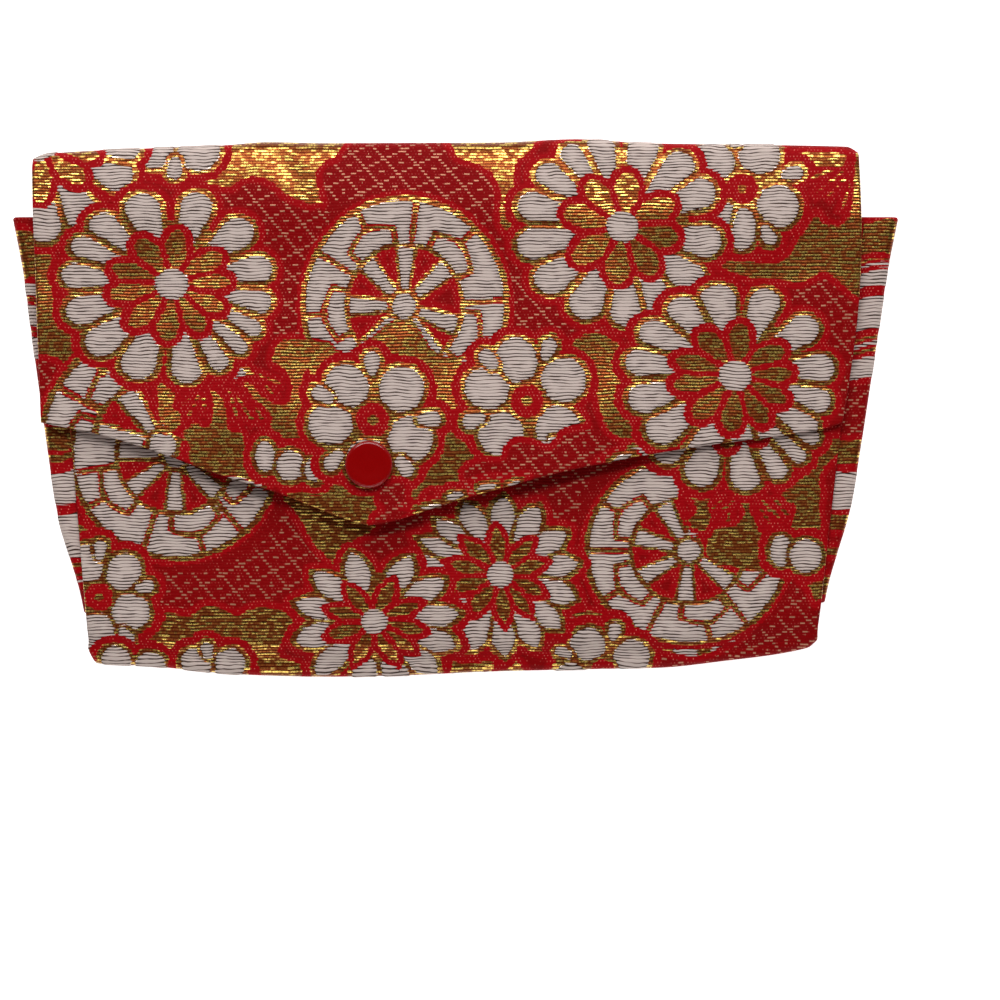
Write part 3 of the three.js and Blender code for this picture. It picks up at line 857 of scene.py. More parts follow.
def paintFlap(cloth, place):
    # figures of the flap, back to front, at pixels of the photograph
    paintAreas(cloth, place, flapGround)
    wheel(
        cloth, *place(404, 306),
        [88, 133, 180, 227, 303, 340, 40], [83, 150, 3, 305], [118, 46, 186, 335], (0.93, 0.95, 1, 1),
    )
    wheel(cloth, *place(164, 446), [169, 125, 80, 215, 35], [205, 150, 100], [178, 128], (1.15, 1, 1.1, 1))
    paintAreas(cloth, place, flapOverWheels)
    veins(cloth, place, flapVeins)
    bud(
        cloth, *place(300, 464),
        [(-7.4, 1.6, 2.2, 3.4), (-2.0, -0.4, 3.0, 3.3), (3.2, -1.2, 2.3, 2.8), (8.2, 0.4, 2.2, 2.4)],
    )
    plum(cloth, *place(373, 420), [128, 47, 333, 263, 185], [91, 154, 1, 304, 226])
    plum(cloth, *place(527, 401), [104, 30, 318, 232, 163], [133, 68, 200, 303])
    paintAreas(cloth, place, flapOverPlums)
    spots(cloth, place, flapSpots)
    plum(cloth, *place(178, 120), [300, 235, 15], [268])
    plum(cloth, *place(742, 189), [134, 64, 333, 269, 236, 200], [17, 299, 98], 0.95)
    veins(cloth, place, cornerVeins)
    flower(cloth, *place(42, 150), cornerFlower)
    flower(cloth, *place(623, 227), wideFlower, stretch=(1.04, 0.96, 0.94, 0.96))
    flower(cloth, *place(173, 284), roundFlower, stretch=(1.08, 0.97, 0.91, 0.97))
    flower(cloth, *place(736, 375), lowFlower, stretch=(1.08, 0.95, 0.88, 0.98))


def paintFront(cloth, place):
    # figures of the front panel
    paintAreas(cloth, place, frontGround)
    wheel(
        cloth, *place(176, 455),
        [218, 269, 317, 175, 130, 80, 40], [251, 311, 190], [211, 286, 340], (0.97, 0.96, 1, 0.96),
    )
    wheel(
        cloth, *place(689, 551),
        [118, 164, 212, 266, 320, 80], [180, 245, 307, 25], [149, 212, 283, 345], (0.95, 0.91, 0.88, 0.86),
    )
    paintAreas(cloth, place, frontOverWheels)
    veins(cloth, place, frontVeins)
    bud(cloth, *place(800, 553), [(-4.2, 0.5, 2.4, 3.4), (1.2, -0.6, 3.6, 3.6)])
    plum(cloth, *place(99, 597), [46, 336, 265, 108, 190], [88, 12, 305], 0.85)
    plum(cloth, *place(129, 684), [114, 44, 180, 330, 250], [], 0.72)
    plum(cloth, *place(213, 690), [117, 61, 185, 350, 270], [96], 0.82)
    plum(cloth, *place(603, 668), [118, 31, 190, 330, 250], [76, 152], 0.8)
    flower(cloth, *place(731, 392), roundFlower, 0.97)
    flower(cloth, *place(501, 574), rightPointed, stretch=(1.07, 0.92, 0.92, 0.99))
    flower(cloth, *place(374, 621), leftPointed, stretch=(0.96, 1.02, 0.84, 0.95))


def paintBack(cloth, place):
    # the back isn't in the photograph: the same figures in another order
    for thread, outline, shiftX, shiftY in backGround:
        moved = [(px + shiftX, py + shiftY) for px, py in outline]
        area(cloth, place, thread, moved, 1.6 if thread == "dots" else 0)
    wheel(
        cloth, *place(300, 545),
        [85, 130, 178, 227, 270, 303, 340, 36], [84, 150, 3, 220, 300], [118, 46, 186, 260, 335],
    )
    wheel(
        cloth, *place(640, 300),
        [118, 164, 212, 266, 320, 15, 70], [180, 245, 307, 25, 95], [149, 212, 283, 345, 60],
    )
    plum(cloth, *place(470, 610), [90, 162, 234, 306, 18], [126, 198, 270, 342, 54])
    plum(cloth, *place(800, 560), [100, 172, 244, 316, 28], [136, 208, 280, 352, 64])
    plum(cloth, *place(440, 200), [80, 152, 224, 296, 8], [116, 188, 260, 332, 44])
    flower(cloth, *place(160, 440), roundFlower, turn=40)
    flower(cloth, *place(520, 440), wideFlower, 1.0, 20)
    flower(cloth, *place(770, 420), roundFlower, 0.95, 200)
    flower(cloth, *place(250, 250), rightPointed, 1.05, 60)
    flower(cloth, *place(700, 640), leftPointed)


def straightPlace(offset, sense):
    # a pixel of the photograph as X and as distance along the cloth, for cloth that it doesn't show
    def place(px, py):
        x = (px - photo["centreX"]) * photo["mmPerPixel"]
        return x, offset + sense * (photo["centreY"] - py) * photo["mmPerPixel"]

    return place


def shownPlace(points, t):
    # the same for cloth that it shows: the grid's point that the camera shows nearest to the pixel,
    # and the rest of the way along the cloth
    share = (photo["height"] - photo["face"]) / (photo["height"] - points[..., 2]) / photo["mmPerPixel"]
    shownX = photo["size"] / 2 + (points[..., 0] - cameraX) * share
    shownY = photo["size"] / 2 - (points[..., 1] - cameraY) * share

    def place(px, py):
        row, column = np.unravel_index(np.argmin((shownX - px) ** 2 + (shownY - py) ** 2), t.shape)
        restX = (px - shownX[row, column]) * photo["mmPerPixel"]
        restY = (shownY[row, column] - py) * photo["mmPerPixel"]
        return points[row, column, 0] + restX, t[row, column] + restY

    return place


# Small unevennesses of the hand, in millimetres: a crease runs between two pixels of the photograph
creases = [
    {"from": (268, 138), "to": (312, 205), "height": -0.5, "width": 2.6},
    {"from": (560, 140), "to": (575, 178), "height": -0.25, "width": 3.0},
    {"from": (120, 500), "to": (230, 452), "height": -0.2, "width": 5.0},
]


def unevenness(x, y):
    # three slow waves, plus a bell across each crease that fades towards its ends
    wave = 0.12 * np.sin(0.16 * x + 0.11 * y + 1) + 0.1 * np.sin(0.23 * x - 0.19 * y)
    wave = wave + 0.08 * np.sin(0.31 * y + 2)
    place = straightPlace(0, 1)
    for crease in creases:
        start, end = np.array(place(*crease["from"])), np.array(place(*crease["to"]))
        way = end - start
        length = math.hypot(*way)
        along = ((x - start[0]) * way[0] + (y - start[1]) * way[1]) / length
        aside = ((y - start[1]) * way[0] - (x - start[0]) * way[1]) / length
        fade = smooth(1.5 * np.minimum(along, length - along) / length + 0.2)
        wave = wave + crease["height"] * np.exp(-((aside / crease["width"]) ** 2)) * fade
    return wave


def stripGrid():
    # rows run along the cloth from the mouth to the flap's free edge, columns across it
    width = pouch["foldWidth"]
    across = withEdges(spaced(0, width, grid["across"]), width) / width
    frontLength = mouthY - float(bottomCentre(np.array(0.5)))
    shown = mouthY + 1
    frontRows = np.concatenate([spaced(0, shown, grid["hidden"]), spaced(shown, frontLength, grid["front"])])
    frontRows = withEdges(frontRows, frontLength, (True, False)) / frontLength
    flapLength = foldEnd - cornerY + pouch["flapTipDrop"]
    flapRows = withEdges(spaced(0, flapLength, grid["flap"]), flapLength, (False, True)) / flapLength
    bottomTurn, topTurn = math.pi * pouch["bottomFoldRadius"], 3 * pouch["topFoldRadius"]
    parts = [
        (frontPart, frontRows),
        (bottomPart, spaced(0, bottomTurn, grid["fold"])[1:-1] / bottomTurn),
        (backPart, spaced(0, pouch["depth"], grid["back"]) / pouch["depth"]),
        (topPart, spaced(0, topTurn, grid["fold"])[1:-1] / topTurn),
        (flapPart, flapRows),
    ]
    blocks = []
    for part, rows in parts:
        x, y, z = np.broadcast_arrays(*part(across[None, :], rows[:, None]))
        blocks.append(np.stack([x, y, z], -1))
    counts = np.cumsum([0] + [len(block) for block in blocks])
    return across, np.concatenate(blocks), counts


def alongCloth(points, counts):
    # arc length down each column, set so that the flap and the front keep the photograph's places:
    # minus the arc length plus Y at a row of the flap, the same plus an offset on the front, and
    # stretched evenly between the two on the back
    steps = np.linalg.norm(np.diff(points, axis=0), axis=2)
    arc = np.concatenate([np.zeros((1, points.shape[1])), np.cumsum(steps, axis=0)])
    columns = np.arange(points.shape[1])

    def anchored(first, last, y):
        row = first + np.argmin(np.abs(points[first:last, :, 1] - y), axis=0)
        return points[row, columns, 1] + arc[row, columns] - arc

    onFlap = anchored(counts[4], counts[5], grid["flapAnchor"])
    onFront = anchored(counts[0], counts[1], grid["frontAnchor"])
    low, high = counts[2], counts[3]
    onFront = onFront + float(np.mean(onFlap[high] + arc[high] - arc[low] - onFront[low]))
    onBack = mix(onFront[low], onFlap[high], (arc - arc[low]) / (arc[high] - arc[low]))
    rows = np.arange(len(points))[:, None]
    return np.where(rows < low, onFront, np.where(rows < high, onBack, onFlap))


def threadFields(cloth, x, t):
    # what the material reads at each point: the threads' fields, and the place on the cloth
    fields = {thread: np.clip(cloth[thread], -9, 9).reshape(x.shape) for thread in paints}
    fields["threads"] = np.stack([x, t, 0 * x], -1)
    return fields


def standingProud(cloth, thick, height):
    # how far the white floats stand out: the height inside their area, and less where the cloth thins
    return height * smooth(cloth["white"].reshape(thick.shape) / 0.8 + 0.3) * (thick / half)


def makeStrip():
    # the front, the back and the flap as one surface, painted, creased and cut in two under the top fold
    across, middle, counts = stripGrid()
    t = alongCloth(middle, counts)
    halfway = (counts[2] + counts[3]) // 2
    cloth = newCloth(middle[..., 0], t)
    paintBack(cloth, straightPlace(float(np.mean(t[halfway] + middle[halfway, :, 1])), -1))
    paintFront(cloth, shownPlace(middle[: counts[2]], t[: counts[2]]))
    seen = slice((counts[3] + counts[4]) // 2, counts[5])
    paintFlap(cloth, shownPlace(middle[seen], t[seen]))
    toSide = np.minimum(across, 1 - across) * pouch["foldWidth"]
    steps = np.linalg.norm(np.diff(middle, axis=0), axis=2).mean(axis=1)
    fromMouth = np.concatenate([[0], np.cumsum(steps)])
    toEnd = np.minimum(fromMouth, fromMouth[-1] - fromMouth)
    thick = roundedEdge(np.minimum(toSide[None, :], toEnd[:, None]))
    rows = np.arange(len(t))[:, None]
    offSeat = 1 - seatShare(middle[..., 0], middle[..., 1])
    free = np.where((rows >= counts[4]) | (rows < counts[1]), offSeat, 0)
    middle[..., 2] += free * unevenness(middle[..., 0], middle[..., 1])
    shownRows = (rows < counts[2]) | (rows >= counts[3])
    raised = standingProud(cloth, thick, pouch["floatHeight"]) * shownRows
    fields = threadFields(cloth, middle[..., 0], t)
    normals = normalsOf(middle)
    pieces = []
    cut = counts[3]
    parts = (("brocade_body", slice(0, cut + 1), cut), ("brocade_flap", slice(cut, None), 0))
    for name, part, cutRow in parts:
        values = {key: field[part] for key, field in fields.items()}
        surfaces = (middle[part], normals[part], thick[part], raised[part])
        piece = shell(name, *surfaces, grid["insideEvery"], values, (cutRow,))
        pieces.append((piece, float(t[part].max() - t[part].min())))
    return pieces


# Bands of thread down each gusset: thread, then from and to in pixels of the photograph
gussetBands = {
    -1: [
        ("gold", 232, 280), ("white", 285, 299), ("gold", 300, 305), ("white", 306, 329), ("gold", 331, 335),
        ("white", 337, 361), ("dots", 367, 409), ("white", 412, 423), ("gold", 424, 448), ("gold", 452, 459),
        ("white", 470, 502), ("white", 512, 556), ("gold", 560, 564), ("gold", 570, 573), ("white", 576, 580),
    ],
    1: [
        ("gold", 222, 256), ("gold", 259, 262), ("white", 264, 268), ("white", 272, 288), ("white", 297, 332),
        ("gold", 336, 341), ("white", 342, 347), ("gold", 349, 353), ("white", 357, 379), ("dots", 385, 434),
        ("gold", 438, 462), ("white", 469, 508), ("gold", 512, 528), ("gold", 545, 552), ("gold", 573, 592),
    ],
}


def makeGusset(name, side):
    # two plies and the half turn that joins them, from just over the bottom fold to the mouth
    panelSide = (1 + side) / 2
    start = (float(bottomCentre(np.array(panelSide))) + pouch["shoulder"] - bottomEnd) / (mouthY - bottomEnd)
    length = (pouch["gussetTopShare"] - start) * (mouthY - bottomEnd)
    opened = (withEdges(spaced(0, length, grid["gusset"]), length) / length)[:, None]
    up = mix(start, pouch["gussetTopShare"], opened)
    edge = panelX(panelSide, up, pouch["mouthWidth"], pouch["mouthShift"])
    upper = upperPlyLevel(up)
    radius = (upper - lowerPlyLevel) / 2
    inner = edge - side * pouch["gussetSeam"]
    outer = edge + side * (pouch["gussetReach"][side] * reachAt(opened) - radius - half)
    y = mix(bottomEnd, mouthY, up)
    plyLength = grid["plyLength"]
    plyShare = withEdges(spaced(0, plyLength, grid["ply"]), plyLength, (True, False))[None, :] / plyLength
    turn = math.pi * np.linspace(0, 1, grid["plyTurn"] + 2)[None, 1:-1]
    flatX = mix(inner, outer, plyShare)
    x = np.concatenate([flatX, outer + side * radius * np.sin(turn), flatX[:, ::-1]], axis=1)
    level = np.concatenate(
        [lowerPlyLevel + 0 * flatX, lowerPlyLevel + radius * (1 - np.cos(turn)), upper + 0 * flatX], axis=1
    )
    middle = np.stack([x, y + 0 * x, level], -1)
    if side < 0:
        middle = middle[::-1]
    steps = np.linalg.norm(np.diff(middle, axis=1), axis=2)
    path = np.concatenate([np.zeros((len(middle), 1)), np.cumsum(steps, axis=1)], axis=1)
    toSide = np.minimum(path, path[:, -1:] - path)
    toEnd = np.minimum(middle[..., 1] - middle[..., 1].min(), middle[..., 1].max() - middle[..., 1])
    thick = roundedEdge(np.minimum(toSide, toEnd))
    cloth = newCloth(path, middle[..., 1])
    every = np.arange(path.size)
    place = straightPlace(0, 1)
    for thread, high, low in gussetBands[side]:
        top, bottom = place(0, high)[1], place(0, low)[1]
        sway = 0.6 * np.sin(0.5 * cloth["x"] + 0.02 * high)
        paint(cloth, every, (top - bottom) / 2 - np.abs(cloth["t"] + sway - (top + bottom) / 2), thread)
    fields = threadFields(cloth, path, middle[..., 1])
    raised = standingProud(cloth, thick, pouch["gussetFloatHeight"])
    piece = shell(name, middle, normalsOf(middle), thick, raised, grid["gussetInsideEvery"], fields)
    return piece, float(path[:, -1].mean()), length


# Press stud, in millimetres: height 0 is the middle of the flap's cloth
snap = {
    "radius": 5.05,
    "thickness": 1.6,
    "bevel": 0.75,
    "dish": 0.12,
    "dishRadius": 3.9,
    "post": 1.2,
    "socketHeight": 1.8,
    "recess": 2.2,
    "recessDepth": 1.3,
    "sides": 96,
}


def makeCap():
    # a profile turned round the stud's axis
    seat = half + pouch["layerGap"]
    top, foot = seat + snap["thickness"], -seat - snap["socketHeight"]
    roof = foot + snap["recessDepth"]
    bevel = np.linspace(0, math.pi / 2, 9)
    rimRadius, rimHeight = snap["bevel"] * (1 - np.sin(bevel)), snap["bevel"] * (1 - np.cos(bevel))
    rim = np.stack([snap["radius"] - rimRadius, top - rimHeight], 1)
    flat = np.linspace(0, 1, 9)[1:-1]
    dish = np.stack([flat * snap["dishRadius"], top - snap["dish"] * (1 - smooth(flat * 1.6 - 0.6))], 1)
    lower = [(snap["radius"] - 0.1, seat), (snap["post"], seat), (snap["post"], -seat)]
    lower += [(pouch["discRadius"], -seat), (pouch["discRadius"], foot)]
    lower += [(snap["recess"], foot), (snap["recess"], roof)]
    profile = np.concatenate([dish, rim, np.array(lower)])
    turn = np.linspace(0, 2 * math.pi, snap["sides"], endpoint=False)
    level = studFrontLevel + studStack
    x, y = studX + profile[:, :1] * np.cos(turn), studY + profile[:, :1] * np.sin(turn)
    rings = np.stack([x, y, level + profile[:, 1:] + 0 * turn], -1)
    poles = [(studX, studY, level + top - snap["dish"]), (studX, studY, level + roof)]
    points = np.concatenate([rings.reshape(-1, 3), np.array(poles)]) * mm
    index = np.arange(rings.shape[0] * snap["sides"]).reshape(rings.shape[:2])
    ahead = np.roll(index, -1, axis=1)
    quads = np.stack([index[:-1], index[1:], ahead[1:], ahead[:-1]], -1).reshape(-1, 4)
    first, last = index.size, index.size + 1
    lids = [[first, int(a), int(b)] for a, b in zip(index[0], ahead[0])]
    lids += [[last, int(b), int(a)] for a, b in zip(index[-1], ahead[-1])]
    mesh = bpy.data.meshes.new("snap_cap_turned")
    mesh.from_pydata(points.tolist(), [], quads.tolist() + lids)
    mesh.polygons.foreach_set("use_smooth", np.ones(len(mesh.polygons), bool))
    mesh.update()
    print("cap made")
    return newObject("snap_cap_turned", mesh)


def linear(hexColour):
    # sRGB hex to the linear colour that a shader takes
    values = np.array([int(hexColour[i : i + 2], 16) for i in (0, 2, 4)]) / 255
    values = np.where(values <= 0.04045, values / 12.92, ((values + 0.055) / 1.055) ** 2.4)
    return (*values.tolist(), 1.0)


def addNode(tree, label, kind, settings=None, inputs=None):
    # an input given as text is a link from the node of that name, with its output after a colon
    node = tree.nodes.new("ShaderNode" + kind)
    node.name = node.label = label
    for key, value in (settings or {}).items():
        setattr(node, key, value)
    for key, value in (inputs or {}).items():
        if not isinstance(value, str):
            node.inputs[key].default_value = value
            continue
        source, _, output = value.partition(":")
        outputs = tree.nodes[source].outputs
        tree.links.new(outputs[int(output) if output.isdigit() else output or 0], node.inputs[key])
    return node


def newMaterial(name, recipe):
    # a material from rows of label, kind, settings and inputs, whose last row is the shader
    material = bpy.data.materials.new(name)
    material.use_nodes = True
    tree = material.node_tree
    tree.nodes.clear()
    for row in recipe:
        addNode(tree, *row)
    addNode(tree, "Output", "OutputMaterial", {}, {"Surface": recipe[-1][0] + ":BSDF"})
    return material


# What a row of a material's recipe may set on its node
blending = {"data_type": "RGBA", "clamp_factor": True}
soft = {"interpolation_type": "SMOOTHSTEP"}
inPlane = {"noise_dimensions": "2D"}
plus, minus, times, timesPlus, over = (
    {"operation": name} for name in ("ADD", "SUBTRACT", "MULTIPLY", "MULTIPLY_ADD", "DIVIDE")
)
larger, below, above, floorOf, fraction, zigzag = (
    {"operation": name} for name in ("MAXIMUM", "LESS_THAN", "GREATER_THAN", "FLOOR", "FRACT", "PINGPONG")
)

# Threads: spacings in millimetres
threads = {
    "pitch": {"gold": 0.67, "white": 0.71},
    "sway": {"gold": 0.9, "white": 1.5},  # in rows
    "tooth": {"gold": 0.28, "white": 0.6},  # how far a row's gap cuts into its end
    "bindPitch": 1.9,
    "finePitch": 0.76,
    "prickPitch": 0.72,
    "reversePitch": 0.69,
    "floatCell": 4.0,
    "relief": 0.08,
    "risingSlope": 28,  # degrees, of the dotted ground's lines
    "fallingSlope": -50,
    "lineSpacing": 4.5,
    "risingDash": 0.52,  # how far from a line's middle its dash reaches
    "fallingDash": 0.32,
}
# Their colours as the photograph shows them
colours = {
    "red": "860003",
    "brightRed": "9e0009",
    "prick": "ff8a78",
    "white": "cebcb4",
    # painted shade: the ground between the white floats darkened, and near black where they part
    "whiteGapAndShade": "765c4e",
    "gapDeepShade": "2a1208",
    "gold": "8a4c20",
    # painted highlight: the pale yellow that the lame shows where it catches the light
    "paintedHighlightGold": "e4c264",
    "goldGap": "5c1a08",
    "dash": "b47c62",
    "reverse": "7c0a10",
    "paleReverse": "a3141a",
    "plastic": "8e0001",
    "paper": "e8e8e8",
}
colours = {name: linear(value) for name, value in colours.items()}


def brocadeMaterial():
    # Woven brocade: red silk satin ground, white silk floats and flat gold lame weft. The rows of
    # weft make its edges toothed, the floats stand up and the lame glints where it turns to the light;
    # part of its dashes carry a painted highlight colour, and the gaps between the floats painted shade
    recipe = [
        *((name, "Attribute", {"attribute_name": name}) for name in ("threads", *paints)),
        ("place", "SeparateXYZ", {}, {0: "threads:Vector"}),
        ("slowNoise", "TexNoise", inPlane, {"Vector": "threads:Vector", "Scale": 0.17, "Detail": 1.5}),
        ("slow", "Math", minus, {0: "slowNoise:Fac", 1: 0.5}),
        ("endCell", "Math", over, {0: "place:X", 1: threads["floatCell"]}),
        ("endFloor", "Math", floorOf, {0: "endCell"}),
    ]
    for thread in ("gold", "white"):
        # rows of weft: a row's number, how near its middle a point lies, and its toothed end
        recipe += [
            (thread + "Straight", "Math", over, {0: "place:Y", 1: threads["pitch"][thread]}),
            (
                thread + "Row", "Math", timesPlus,
                {0: "slow", 1: threads["sway"][thread], 2: thread + "Straight"},
            ),
            (thread + "Index", "Math", floorOf, {0: thread + "Row"}),
            (thread + "Phase", "Math", fraction, {0: thread + "Row"}),
            (thread + "Fold", "Math", zigzag, {0: thread + "Phase", 1: 0.5}),
            (thread + "Tent", "Math", times, {0: thread + "Fold", 1: 2.0}),
            (thread + "Lack", "Math", minus, {0: 1.0, 1: thread + "Tent"}),
            (thread + "Tooth", "Math", times, {0: thread + "Lack", 1: thread + "Lack"}),
            (thread + "EndAt", "CombineXYZ", {}, {0: "endFloor", 1: thread + "Index"}),
            (thread + "End", "TexWhiteNoise", inPlane, {"Vector": thread + "EndAt"}),
            (thread + "Ragged", "MapRange", {}, {0: thread + "End:Value", 3: -0.25, 4: 0.2}),
            (thread + "Field", "Math", plus, {0: thread + ":Fac", 1: thread + "Ragged"}),
            (
                thread + "Edge", "Math", timesPlus,
                {0: thread + "Tooth", 1: -threads["tooth"][thread], 2: thread + "Field"},
            ),
            (thread + "Mask", "MapRange", soft, {0: thread + "Edge", 1: -0.09, 2: 0.09}),
        ]
    recipe += [
        # white floats: the gaps between them are painted shade, the ground darkened most near their ends and
        # faint where they lie close
        ("floatAt", "CombineXYZ", {}, {0: "endCell", 1: "whiteIndex"}),
        ("floatNoise", "TexNoise", inPlane, {"Vector": "floatAt", "Scale": 0.83, "Detail": 1.0}),
        ("nearEnd", "MapRange", {}, {0: "white:Fac", 1: 0.3, 2: 1.9, 3: 1.0, 4: 0.05}),
        ("darkDash", "MapRange", {}, {0: "floatNoise:Fac", 1: 0.42, 2: 0.6, 3: 0.0, 4: 0.9}),
        ("gapDark", "Math", larger, {0: "nearEnd", 1: "darkDash"}),
        ("gapLow", "MapRange", {}, {0: "gapDark", 3: -0.14, 4: 0.2}),
        ("gapHigh", "Math", plus, {0: "gapLow", 1: 0.42}),
        ("whiteBody", "MapRange", soft, {0: "whiteTent", 1: "gapLow", 2: "gapHigh"}),
        ("gapColour", "Mix", blending, {0: "gapDark", 6: colours["whiteGapAndShade"], 7: colours["gapDeepShade"]}),
        ("whiteColour", "Mix", blending, {0: "whiteBody", 6: "gapColour:2", 7: colours["white"]}),
        # gold strips: bound down at staggered places, and a little darker at a fine pitch along each row
        ("goldStrip", "MapRange", soft, {0: "goldTent", 1: 0.2, 2: 0.6}),
        ("fineCell", "Math", over, {0: "place:X", 1: threads["finePitch"]}),
        ("fineShift", "Math", timesPlus, {0: "goldIndex", 1: 0.5, 2: "fineCell"}),
        ("fineTent", "Math", zigzag, {0: "fineShift", 1: 0.5}),
        ("fineMask", "MapRange", {}, {0: "fineTent", 1: 0.0, 2: 0.3, 3: 0.6, 4: 1.0}),
        ("fineStrip", "Math", times, {0: "goldStrip", 1: "fineMask"}),
        ("bindCell", "Math", over, {0: "place:X", 1: threads["bindPitch"]}),
        ("bindShift", "Math", timesPlus, {0: "goldIndex", 1: 0.37, 2: "bindCell"}),
        ("bindPhase", "Math", fraction, {0: "bindShift"}),
        ("bindTent", "Math", zigzag, {0: "bindPhase", 1: 0.5}),
        ("bindMask", "MapRange", soft, {0: "bindTent", 1: 0.02, 2: 0.1, 3: 0.35, 4: 1.0}),
        ("goldBody", "Math", times, {0: "fineStrip", 1: "bindMask"}),
        ("glintAt", "CombineXYZ", {}, {0: "bindShift", 1: "goldIndex"}),
        ("glint", "TexNoise", inPlane, {"Vector": "glintAt", "Scale": 0.9, "Detail": 1.0}),
        # painted highlight: the same noise that tilts the dashes paints part of them a pale yellow gold and
        # makes them more metallic
        ("paler", "MapRange", {}, {0: "glint:Fac", 1: 0.46, 2: 0.6}),
        ("goldThread", "Mix", blending, {0: "paler", 6: colours["gold"], 7: colours["paintedHighlightGold"]}),
        ("goldColour", "Mix", blending, {0: "goldBody", 6: colours["goldGap"], 7: "goldThread:2"}),
        # red satin: brighter beside the other threads, with pricks of the binding warp
        ("figure", "Math", larger, {0: "white:Fac", 1: "gold:Fac"}),
        ("rim", "MapRange", {}, {0: "figure", 1: -1.7, 2: -1.0}),
        ("redBase", "Mix", blending, {0: "rim", 6: colours["red"], 7: colours["brightRed"]}),
        ("prickCell", "Math", over, {0: "place:X", 1: threads["prickPitch"]}),
        ("prickShift", "Math", timesPlus, {0: "goldIndex", 1: 0.41, 2: "prickCell"}),
        ("prickIndex", "Math", floorOf, {0: "prickShift"}),
        ("prickPhase", "Math", fraction, {0: "prickShift"}),
        ("prickTent", "Math", zigzag, {0: "prickPhase", 1: 0.5}),
        ("prickAcross", "MapRange", {}, {0: "prickTent", 1: 0.3, 2: 0.44}),
        ("prickAlong", "MapRange", {}, {0: "goldTent", 1: 0.45, 2: 0.85}),
        ("prickAt", "CombineXYZ", {}, {0: "prickIndex", 1: "goldIndex"}),
        ("prickSome", "TexWhiteNoise", inPlane, {"Vector": "prickAt"}),
        ("prickLevel", "MapRange", {}, {0: "prickSome:Value", 1: 0.4, 2: 1.0, 3: 0.0, 4: 0.75}),
        ("prickMore", "MapRange", {}, {0: "rim", 3: 0.45, 4: 1.0}),
        ("prickOne", "Math", times, {0: "prickAcross", 1: "prickAlong"}),
        ("prickTwo", "Math", times, {0: "prickOne", 1: "prickLevel"}),
        ("prickMask", "Math", times, {0: "prickTwo", 1: "prickMore"}),
        ("redColour", "Mix", blending, {0: "prickMask", 6: "redBase:2", 7: colours["prick"]}),
        ("dashY", "Math", times, {0: "goldIndex", 1: threads["pitch"]["gold"]}),
    ]
    # dotted ground: in each row of weft a dash stands where a line of a slanting lattice crosses it,
    # and at the middle of each of the lattice's cells
    for line in ("rising", "falling"):
        turn, spacing = math.radians(threads[line + "Slope"]), threads["lineSpacing"]
        reach = threads[line + "Dash"] * abs(math.sin(turn)) / spacing
        recipe += [
            (line + "X", "Math", times, {0: "place:X", 1: math.sin(turn) / spacing}),
            (line, "Math", timesPlus, {0: "dashY", 1: -math.cos(turn) / spacing, 2: line + "X"}),
            (line + "Near", "Math", zigzag, {0: line, 1: 0.5}),
            (line + "Dash", "Math", below, {0: line + "Near", 1: reach}),
            (line + "Heart", "Math", above, {0: line + "Near", 1: 0.4}),
        ]
    recipe += [
        ("onLine", "Math", larger, {0: "risingDash", 1: "fallingDash"}),
        ("inHeart", "Math", times, {0: "risingHeart", 1: "fallingHeart"}),
        ("dashHere", "Math", larger, {0: "onLine", 1: "inHeart"}),
        ("dashThin", "MapRange", {}, {0: "goldTent", 1: 0.35, 2: 0.75}),
        ("dashZone", "Math", above, {0: "dots:Fac", 1: 0.0}),
        ("dashTwo", "Math", times, {0: "dashHere", 1: "dashThin"}),
        ("dashMask", "Math", times, {0: "dashTwo", 1: "dashZone"}),
        ("groundColour", "Mix", blending, {0: "dashMask", 6: "redColour:2", 7: colours["dash"]}),
        # the threads together; painted shade: where the white floats' ends fall short, the gaps are painted
        # near black
        ("withGold", "Mix", blending, {0: "goldMask", 6: "groundColour:2", 7: "goldColour:2"}),
        ("underWhite", "MapRange", soft, {0: "white:Fac", 1: 0.08, 2: 0.3}),
        ("withDark", "Mix", blending, {0: "underWhite", 6: "withGold:2", 7: colours["gapDeepShade"]}),
        ("withWhite", "Mix", blending, {0: "whiteMask", 6: "withDark:2", 7: "whiteColour:2"}),
        ("notWhite", "Math", minus, {0: 1.0, 1: "underWhite"}),
        ("goldOnly", "Math", times, {0: "goldMask", 1: "notWhite"}),
        ("dashMetal", "Math", times, {0: "dashMask", 1: 0.6}),
        ("metal", "Math", larger, {0: "goldOnly", 1: "dashMetal"}),
        ("metalShare", "MapRange", {}, {0: "paler", 3: 0.5, 4: 0.96}),
        ("metalPart", "Math", times, {0: "metal", 1: "metalShare"}),
        ("roughness", "MapRange", {}, {0: "metal", 3: 0.6, 4: 0.27}),
        # relief of the threads
        ("whiteRelief", "Math", times, {0: "whiteBody", 1: "whiteMask"}),
        ("glintTilt", "MapRange", {}, {0: "glint:Fac", 1: 0.3, 2: 0.7, 3: -0.45, 4: 0.45}),
        ("tiltRelief", "Math", times, {0: "goldPhase", 1: "glintTilt"}),
        ("goldRelief", "Math", timesPlus, {0: "goldTent", 1: 0.5, 2: "tiltRelief"}),
        ("groundRelief", "Math", times, {0: "goldRelief", 1: "notWhite"}),
        ("relief", "Math", timesPlus, {0: "whiteRelief", 1: 1.4, 2: "groundRelief"}),
        ("bump", "Bump", {}, {"Strength": 1.0, "Distance": threads["relief"] * mm, "Height": "relief"}),
        (
            "cloth", "BsdfPrincipled", {},
            {
                "Base Color": "withWhite:2", "Metallic": "metalPart", "Roughness": "roughness",
                "Normal": "bump", "Specular IOR Level": 0.06,
            },
        ),
    ]
    return newMaterial("brocade_woven", recipe)


